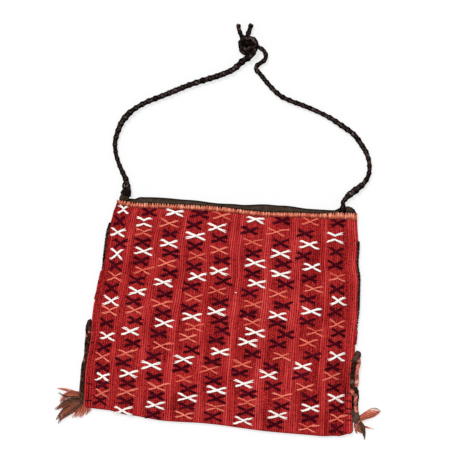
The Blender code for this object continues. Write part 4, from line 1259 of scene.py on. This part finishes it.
def make_overcasting(side_name, top, end, red, seed):
    """Overcasting that closes a length of an upper side: slanted turns over the edge, dark or red."""
    point_at, side = SIDES[side_name]
    strands = Strands()
    chance = random.Random(seed)
    start, last = side_share(point_at, top), side_share(point_at, end)
    count = round((top - end) / OVERCAST_PITCH)
    wide, high = OVERCAST_YARN
    for number in range(count):
        share = start + (last - start) * (number + chance.uniform(-0.25, 0.25)) / count
        point, along, outwards = edge_frame(point_at, share, side)
        fuller = 1 if red else 1 - 0.4 * ease((number / count - 0.68) / 0.2)
        inset = chance.uniform(0.0002, 0.0014) * fuller
        slant = along * chance.uniform(0.0008, 0.0022)
        section = ((-inset - 0.0008, 2 * CLOTH - 0.0007), (-inset, 2 * CLOTH + 0.0003),
                   (0.0007 * fuller, 1.5 * CLOTH + 0.0006), (0.0011 * fuller, CLOTH),
                   (0.0006 * fuller, 0.4 * CLOTH + 0.0002), (-0.0006, 0.0009))
        line = wrapped(point, outwards, slant, 0.5, section)
        strands.add(line, wide * fuller, high * fuller, shade=chance.uniform(0.25, 0.6))
    if red:
        strands.piece(f"{side_name}_red_overcasting", finish="red", slot="madder")
    else:
        strands.piece(f"{side_name}_overcasting", (f"{side_name}_seam_stitching",))


ROPE_ORBIT = 0.0029
ROPE_RISE = 0.0030
PLY_ORBIT = 0.0010
PLY_WIDTH = 0.0036
PLY_HEIGHT = 0.0030
PLY_PITCH = 0.0135
ROPE_REACH = ROPE_ORBIT + PLY_ORBIT + PLY_WIDTH / 2
ROPE_CORE = (0.0054, 0.0038)
SHADE_FILLING_HEIGHT = 0.0026

# The side ropes on their way down: how far they lie over the cloth and how far past its edge, how far
# the orange strand has turned round the brown one, in half turns, and the shade of each strand
LEFT_ROPE_OVER = ((0, 0.0008), (0.2, 0.0008), (0.3, 0.0008), (0.4, 0.0005), (0.5, 0.0004), (0.56, 0.0014),
                  (0.66, -0.0002), (0.75, -0.0012), (0.9, -0.0010), (1, 0.0006))
LEFT_ROPE_PAST = ((0, 0.0040), (0.05, 0.0060), (0.10, 0.0072), (0.20, 0.0066), (0.30, 0.0069),
                  (0.40, 0.0064), (0.46, 0.0058), (0.50, 0.0061), (0.60, 0.0076), (0.75, 0.0078),
                  (0.87, 0.0084), (1, 0.0082))
LEFT_ROPE_TURN = ((0, 0.3), (0.5, 4.2), (1, 8.3))
LEFT_BROWN_SHADE = ((0, 0.24), (0.3, 0.20), (0.5, 0.42), (0.62, 0.24), (0.8, 0.36), (1, 0.20))
LEFT_ORANGE_SHADE = ((0, 0.16), (0.13, 0.18), (0.16, 0.60), (0.19, 0.22), (0.22, 0.64), (0.26, 0.18),
                     (0.40, 0.20), (0.43, 0.46), (0.47, 0.20), (0.52, 0.44), (0.58, 0.20), (1, 0.18))
RIGHT_ROPE_OVER = ((0, 0.0010), (0.06, 0.0020), (0.12, 0.0044), (0.29, 0.0050), (0.57, 0.0042),
                   (0.64, 0.0016), (0.78, 0.0016), (0.90, 0.0022), (1, 0.0014))
RIGHT_ROPE_PAST = ((0, 0.0062), (0.05, 0.0086), (0.115, 0.0080), (0.2, 0.0078), (0.29, 0.0067),
                   (0.45, 0.0075), (0.51, 0.0069), (0.57, 0.0080), (0.66, 0.0094), (0.76, 0.0084),
                   (0.86, 0.0086), (1, 0.0076))
RIGHT_ROPE_TURN = ((0, -0.65), (0.07, -0.55), (0.14, -0.10), (0.24, 0.16), (0.46, 0.12), (0.54, -0.5),
                   (0.60, -1.20), (0.66, -1.52), (0.84, -1.58), (0.93, -2.5), (1, -2.6))
RIGHT_BROWN_SHADE = ((0, 0.50), (0.08, 0.60), (0.14, 0.40), (0.2, 0.20), (0.38, 0.22), (0.43, 0.78),
                     (0.48, 0.40), (0.53, 0.30), (0.58, 0.22), (0.80, 0.16), (0.86, 0.55), (0.93, 0.74),
                     (1, 0.40))
RIGHT_ORANGE_SHADE = ((0, 0.22), (0.10, 0.40), (0.14, 0.80), (0.17, 0.40), (0.21, 0.64), (0.30, 0.62),
                      (0.38, 0.48), (0.44, 0.86), (0.50, 0.60), (0.54, 0.36), (0.60, 0.60), (0.72, 0.58),
                      (0.78, 0.50), (0.84, 0.70), (0.92, 0.30), (1, 0.24))


# Where each rope lies along its side, how it lies and turns, and how far its dark filling, partly painted
# shade between the strands, takes up its reach
ROPES = {
    "left": (LEFT_BRAID, LEFT_ROPE_OVER, LEFT_ROPE_PAST, LEFT_ROPE_TURN, 0.92),
    "right": (RIGHT_BRAID, RIGHT_ROPE_OVER, RIGHT_ROPE_PAST, RIGHT_ROPE_TURN, 0.80),
}
ROPE_STEPS = 130

# The stitches that sew each rope to the cloth: their heights up the side and their reach on the cloth
SEAM_STITCHES_AND_SHADE = {
    # The left stitches sit where the cloth beside the rope lies in dark-red shade: partly painted shade.
    "left": ((-0.0453, 0.0052), (-0.0946, 0.0066), (-0.1140, 0.0086)),
    "right": ((-0.0410, 0.0052), (-0.0575, 0.0068), (-0.0788, 0.0104), (-0.0883, 0.0078), (-0.0973, 0.0082),
              (-0.1039, 0.0080), (-0.1120, 0.0066)),
}


def make_rope(side_name, colour, tone, seed):
    """One of the two strands twisted round each other along a lower side: two plies round a core."""
    point_at, side = SIDES[side_name]
    (start, end), over, past, turned, filled = ROPES[side_name]
    strands = Strands()
    length = (end - start) * (point_at(0).y - point_at(1).y)
    ply = (PLY_WIDTH, PLY_HEIGHT)
    yarns = {"ply": ply, "other ply": ply, "core": ROPE_CORE}
    # The brown strand has a dark filling under its plies: partly the rope's dark core, partly painted shade
    # in the groove between the two strands.
    if colour == "brown":
        yarns["filling"] = (2 * ROPE_REACH * filled, SHADE_FILLING_HEIGHT)
    for yarn, (wide, high) in yarns.items():
        points, shade, sizes = [], [], []
        for part in shares(0, 1, ROPE_STEPS):
            inner, outer = blend(over, part), blend(past, part)
            size = (inner + outer) / (2 * ROPE_REACH)
            point, _, outwards = edge_frame(point_at, start + (end - start) * part, side)
            size *= (0.4 + 0.6 * ease(part / 0.022)) * (0.4 + 0.6 * ease((1 - part) / 0.022))
            angle = math.pi * (blend(turned, part) + (1 if colour == "brown" else 0))
            out = (outer - inner) / 2
            if yarn == "filling":
                rise = 0.0003 + 0.0013 * size + 1.1 * CLOTH * ease((0.0034 - out) / 0.0042)
            else:
                out += ROPE_ORBIT * size * math.cos(angle)
                rise = 0.0003 + (PLY_ORBIT + PLY_HEIGHT / 2) * size
                rise += 2 * CLOTH * ease((0.0034 - out) / 0.0042)
                rise += ROPE_RISE * size * max(math.sin(angle), 0)
            if "ply" in yarn:
                own = TURN * length * part / PLY_PITCH + (math.pi if yarn == "ply" else 0)
                out += PLY_ORBIT * size * math.cos(own)
                rise += PLY_ORBIT * size * math.sin(own)
            points.append(raised(point + outwards * out, rise))
            patch = noise.noise(Vector((part * 34, seed + len(yarn), 2.5)))
            # The filling takes half its strand's shade: painted shade between the strands.
            shade.append(blend(tone, part) * (0.5 if yarn == "filling" else 1) + 0.14 * patch)
            sizes.append(size)
        strands.add(points, wide, high, shade=shade, sides=10, sizes=sizes)
    finish, slot = ("dark_rope", "brown") if colour == "brown" else ("rope", "rust")
    strands.piece(f"{side_name}_rope_{colour}", (f"{side_name}_braid_{colour}",), finish, slot)


def make_seam_stitches_and_shade(side_name, seed):
    """Dark stitches that sew a side rope to the cloth; on the left they are partly painted shade, where the
    cloth beside the rope is shaded dark red.
    """
    point_at, side = SIDES[side_name]
    strands = Strands()
    chance = random.Random(seed)
    for height, reach in SEAM_STITCHES_AND_SHADE[side_name]:
        point, along, outwards = edge_frame(point_at, side_share(point_at, height), side)
        slant = along * chance.uniform(-0.0012, 0.0016)
        line = []
        for part in shares(0, 1, 7):
            place = point - outwards * (reach + (0.0012 - reach) * part) + slant * part
            line.append(raised(place, height_at(place) + 0.0003 - 0.0011 * max(1 - 7 * part, 0)))
        strands.add(smooth_route(line, 0.0011), *SEAM_YARN, shade=chance.uniform(0.2, 0.5))
    strands.piece(f"{side_name}_rope_stitches_and_shade")


# Tassels
def make_tie(side_name, root, radius, length, shade, seed):
    """The yarn wound round a tassel's root, and the core inside it."""
    strands = Strands()
    chance = random.Random(seed)
    root = Vector(root)
    a_turn = 12
    steps = a_turn * round(length / TIE_PITCH)
    line, tones = [], []
    for number, share in enumerate(shares(0, 1, steps)):
        angle = TURN * number / a_turn
        reach = radius * (0.45 + 0.55 * math.sin(math.pi * (0.12 + 0.76 * share)))
        line.append(root + Vector((reach * math.cos(angle), length * (share - 0.5), reach * math.sin(angle))))
        tones.append(shade + 0.25 * chance.random())
    strands.add(line, TIE_YARN, shade=tones)
    core = [root + Vector((0, length * part, 0)) for part in (-0.56, -0.48, -0.25, 0.25, 0.48, 0.56)]
    strands.add(core, 2 * radius, shade=shade, sides=10, sizes=(0.3, 0.6, 0.95, 0.95, 0.6, 0.3))
    strands.piece(f"{side_name}_tassel_binding", (f"{side_name}_tassel_tie",), "dark_rope")


def make_locks(side_name, colour, locks, seed):
    """Hair that lies on the ground in locks."""
    strands = Strands()
    chance = random.Random(seed)
    for route, width, hairs, (root_shade, tip_shade), height in locks:
        points = [Vector((*place, 0)) for place in route]
        step = line_length(points) * 1.02 / 11
        for _ in range(hairs):
            guide = smooth_route(points, step)
            last = len(guide) - 1
            off = max(-1.3, min(1.3, chance.gauss(0, 0.55)))
            begin, end = chance.uniform(0, 0.12), chance.uniform(0.72, 1.02)
            rise, turn = chance.uniform(0.05, 1.0), chance.uniform(0, 6.28)
            jitter = max(-0.25, min(0.25, chance.gauss(0, 0.09)))
            line, shade, sizes = [], [], []
            for index, (_, beside, _, _) in enumerate(framed(guide)):
                part = index / last
                share = begin + (end - begin) * part
                low = min(int(share * last), last - 1)
                place = guide[low].lerp(guide[low + 1], share * last - low)
                spread = width * off * (0.42 + 0.58 * math.sin(math.pi * min(share * 0.9 + 0.08, 1)))
                wave = 0.00045 * math.sin(7 * share + turn)
                lift = 0.0006 + height * rise * max(1 - share, 0) ** 0.8 + 0.0008 * rise
                line.append(raised(place, lift) + beside * (spread + wave))
                shade.append(root_shade + (tip_shade - root_shade) * ease(share * 1.1) + jitter)
                sizes.append(1.0 - 0.75 * part ** 3)
            strands.add(line, chance.uniform(*HAIR_WIDTHS), shade=shade, sides=4, sizes=sizes)
    slot = "rust" if colour == "orange" else "brown"
    strands.piece(f"{side_name}_tuft_{colour}", (f"{side_name}_tassel_{colour}",), "hair", slot)


# The locks of each tuft: route, width, hairs, shades at root and tip, and height at the root
LEFT_ORANGE_LOCKS = (
    (((-0.1640, -0.1085), (-0.1690, -0.1066), (-0.1772, -0.1058), (-0.1871, -0.1040), (-0.1969, -0.1038)),
     0.0012, 16, (0.45, 0.66), 0.003),
    (((-0.1640, -0.1115), (-0.1682, -0.1108), (-0.1753, -0.1097), (-0.1844, -0.1124), (-0.1910, -0.1197)),
     0.0038, 50, (0.40, 0.66), 0.003),
    (((-0.1640, -0.1140), (-0.1655, -0.1190), (-0.1686, -0.1269), (-0.1710, -0.1337), (-0.1754, -0.1379)),
     0.0034, 46, (0.34, 0.70), 0.003),
    (((-0.1635, -0.1140), (-0.1632, -0.1195), (-0.1633, -0.1264), (-0.1644, -0.1325), (-0.1670, -0.1370)),
     0.0032, 40, (0.40, 0.70), 0.003),
    (((-0.1632, -0.1145), (-0.1605, -0.1200), (-0.1585, -0.1246), (-0.1586, -0.1298), (-0.1591, -0.1327)),
     0.0026, 34, (0.50, 0.64), 0.0035),
    (((-0.1628, -0.1150), (-0.1585, -0.1200), (-0.1556, -0.1235), (-0.1554, -0.1271), (-0.1570, -0.1300)),
     0.0018, 26, (0.54, 0.62), 0.0035),
    (((-0.1640, -0.1130), (-0.1680, -0.1180), (-0.1765, -0.1240), (-0.1850, -0.1310), (-0.1910, -0.1385)),
     0.0028, 40, (0.40, 0.60), 0.0048),
)
LEFT_BROWN_LOCKS = (
    (((-0.1645, -0.1100), (-0.1700, -0.1115), (-0.1766, -0.1124), (-0.1865, -0.1120), (-0.1955, -0.1079)),
     0.0009, 14, (0.24, 0.12), 0.0045),
    (((-0.1638, -0.1120), (-0.1680, -0.1160), (-0.1747, -0.1176), (-0.1848, -0.1215), (-0.1920, -0.1265),
      (-0.1965, -0.1298)), 0.0036, 60, (0.20, 0.36), 0.0046),
    (((-0.1636, -0.1130), (-0.1675, -0.1180), (-0.1744, -0.1205), (-0.1851, -0.1282), (-0.1904, -0.1363),
      (-0.1941, -0.1416)), 0.0030, 46, (0.22, 0.44), 0.0044),
    (((-0.1634, -0.1130), (-0.1665, -0.1195), (-0.1724, -0.1257), (-0.1823, -0.1340), (-0.1886, -0.1399),
      (-0.1911, -0.1457)), 0.0022, 36, (0.26, 0.38), 0.0042),
    (((-0.1640, -0.1110), (-0.1675, -0.1150), (-0.1735, -0.1155), (-0.1835, -0.1165), (-0.1905, -0.1225)),
     0.0024, 26, (0.22, 0.34), 0.0044),
    (((-0.1640, -0.1085), (-0.1650, -0.1125), (-0.1655, -0.1165), (-0.1668, -0.1205)),
     0.0026, 40, (0.26, 0.30), 0.0048),
)
RIGHT_ORANGE_LOCKS = (
    (((0.1660, -0.1092), (0.1700, -0.1082), (0.1794, -0.1032), (0.1876, -0.1010), (0.1942, -0.0986)),
     0.0026, 64, (0.60, 0.68), 0.003),
    (((0.1662, -0.1118), (0.1705, -0.1114), (0.1784, -0.1072), (0.1878, -0.1033), (0.1935, -0.0993)),
     0.0013, 30, (0.55, 0.62), 0.003),
    (((0.1768, -0.1016), (0.1814, -0.0988), (0.1873, -0.0972), (0.1934, -0.0978)),
     0.0012, 30, (0.80, 1.02), 0.002),
    (((0.1696, -0.1073), (0.1771, -0.1000), (0.1828, -0.0968), (0.1879, -0.0955), (0.1941, -0.0977)),
     0.0003, 6, (0.45, 0.26), 0.0022),
    (((0.1700, -0.1105), (0.1672, -0.1150), (0.1664, -0.1192), (0.1684, -0.1233), (0.1732, -0.1259),
      (0.1764, -0.1286)), 0.0010, 24, (0.66, 0.56), 0.006),
)
RIGHT_BROWN_LOCKS = (
    (((0.1672, -0.1105), (0.1700, -0.1130), (0.1738, -0.1175), (0.1756, -0.1228), (0.1766, -0.1279),
      (0.1780, -0.1345)), 0.0014, 40, (0.32, 0.24), 0.0042),
    (((0.1668, -0.1110), (0.1694, -0.1150), (0.1722, -0.1195), (0.1742, -0.1236), (0.1756, -0.1276)),
     0.0026, 56, (0.28, 0.36), 0.0038),
    (((0.1650, -0.1150), (0.1650, -0.1190), (0.1662, -0.1235), (0.1678, -0.1280)),
     0.0013, 26, (0.36, 0.42), 0.003),
    (((0.1735, -0.1170), (0.1765, -0.1184), (0.1824, -0.1198), (0.1886, -0.1208)),
     0.0008, 9, (0.40, 1.00), 0.002),
)


def make_tassels():
    make_tie("left", LEFT_TIE, 0.0024, 0.0052, 0.30, 41)
    make_tie("right", RIGHT_TIE, 0.0038, 0.0122, 0.55, 42)
    tufts = (("left", "orange", LEFT_ORANGE_LOCKS), ("left", "brown", LEFT_BROWN_LOCKS),
             ("right", "orange", RIGHT_ORANGE_LOCKS), ("right", "brown", RIGHT_BROWN_LOCKS))
    for seed, tuft in enumerate(tufts, 51):
        make_locks(*tuft, seed)


# Lashings of the strap
LASHING_MIDDLE = (-0.1336, 0.1380, 0.0052)
LASHING_TURNS = 4


def make_lashing(seed):
    """Dark yarn wound round the root of the left cord in slanting turns, over the doubled band."""
    strands = Strands()
    chance = random.Random(seed)
    middle = Vector(LASHING_MIDDLE)
    steps = 16
    line = []
    for number, share in enumerate(shares(0, 1, LASHING_TURNS * steps)):
        angle = TURN * number / steps
        bulge = 1 + 0.12 * noise.noise(Vector((number * 0.21, seed, 0)))
        x = (0.0060 - 0.0016 * share) * math.cos(angle) * bulge
        z = 0.0036 * math.sin(angle) * bulge
        line.append(middle + Vector((x + 0.0016 * share, -0.0026 + 0.0056 * share - 0.20 * x, z)))
    strands.add(line, *LASHING_YARN, shade=[0.12 + 0.30 * chance.random() for _ in line])
    core = [middle + Vector((0.0008 * share, 0.0042 * share, 0)) for share in shares(-1, 1, 6)]
    strands.add(core, *LASHING_CORE, shade=0.15, sides=14, sizes=(0.5, 0.9, 1, 1, 0.96, 0.85, 0.5))
    strands.piece("left_strap_lashing", ("left_strap_anchor",))


def make_cord_root(seed):
    """The end of the right cord where it is sewn down on the band, with its stitches."""
    strands = Strands()
    node = "right_strap_anchor"
    low, high = (Vector(corner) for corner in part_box(node))
    middle = (low + high) / 2
    line = [Vector((middle.x + 0.0006 * math.sin(9 * part), high.y - (high.y - low.y + 0.002) * part,
                    middle.z - 0.0006 * part)) for part in shares(0, 1, 12)]
    plait(strands, line, seed=seed)
    chance = random.Random(seed)
    for reach in (0.0006, 0.0026):
        slant = chance.uniform(-0.0012, 0.0012)
        loop = []
        for part in shares(0, 1, 12):
            angle = math.pi * (1.1 - 1.2 * part)
            loop.append(Vector((middle.x + 0.0038 * math.cos(angle), low.y + reach + slant * part,
                                middle.z - 0.0012 + 0.0044 * math.sin(angle))))
        strands.add(loop, TIE_YARN, shade=0.25)
    strands.piece("right_strap_root", (node,))


def make_folded_end(name, low, high, slope, seed):
    """A doubled corner of the band: a soft block with rounded edges and a slightly uneven face."""
    size = [end - start for start, end in zip(low, high)]
    centre = [(end + start) / 2 for start, end in zip(low, high)]
    bpy.ops.object.select_all(action="DESELECT")
    bpy.ops.mesh.primitive_cube_add(size=1, location=centre)
    block = bpy.context.object
    block.scale = size
    bpy.ops.object.transform_apply(location=True, rotation=True, scale=True)
    bevel = block.modifiers.new("round", "BEVEL")
    bevel.width = min(size) * 0.42
    bevel.segments = 4
    fine = block.modifiers.new("fine", "SUBSURF")
    fine.levels = 2
    fine.render_levels = 2
    bpy.ops.object.modifier_apply(modifier="round")
    bpy.ops.object.modifier_apply(modifier="fine")
    mesh = block.data
    mesh.uv_layers.remove(mesh.uv_layers.active)
    map_points(mesh, [(at.co.x / CHECK_SIZE, (at.co.y + at.co.z) / CHECK_SIZE) for at in mesh.vertices])
    for vertex in mesh.vertices:
        vertex.co.x += slope * (vertex.co.y - centre[1])
        push = noise.noise(vertex.co * 260 + Vector((seed, 0, 0)))
        vertex.co += vertex.normal * 0.0004 * push
    block.name = name
    mesh.name = name
    mesh.materials.clear()
    mesh.materials.append(FINISHES["fold"])
    mesh.shade_smooth()
    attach(block, "root")


set_view()
set_light()
set_floor()
make_strap()
shell = Shell()
shell.build()
cloth = shell.piece()
make_crosses()
make_edging()
make_band()
# Down each side the overcasting is dark at first and then red, and it ends above the rope
for side_name, top, change, end, seed in (("left", 0.099, 0.040, 0.006, 61),
                                          ("right", 0.102, -0.006, -0.022, 62)):
    make_overcasting(side_name, top, change, False, seed)
    make_overcasting(side_name, change, end, True, seed + 2)
make_rope("left", "brown", LEFT_BROWN_SHADE, 71)
make_rope("left", "orange", LEFT_ORANGE_SHADE, 72)
make_rope("right", "brown", RIGHT_BROWN_SHADE, 73)
make_rope("right", "orange", RIGHT_ORANGE_SHADE, 74)
make_seam_stitches_and_shade("left", 81)
make_seam_stitches_and_shade("right", 82)
make_tassels()
make_lashing(91)
make_cord_root(92)
make_folded_end("left_band_fold", (-0.1402, 0.1284, 0.0029), (-0.1286, 0.1362, 0.0074), 0.28, 3)
make_folded_end("right_band_fold", (0.1318, 0.1362, 0.0028), (0.1408, 0.1432, 0.0062), -0.35, 4)
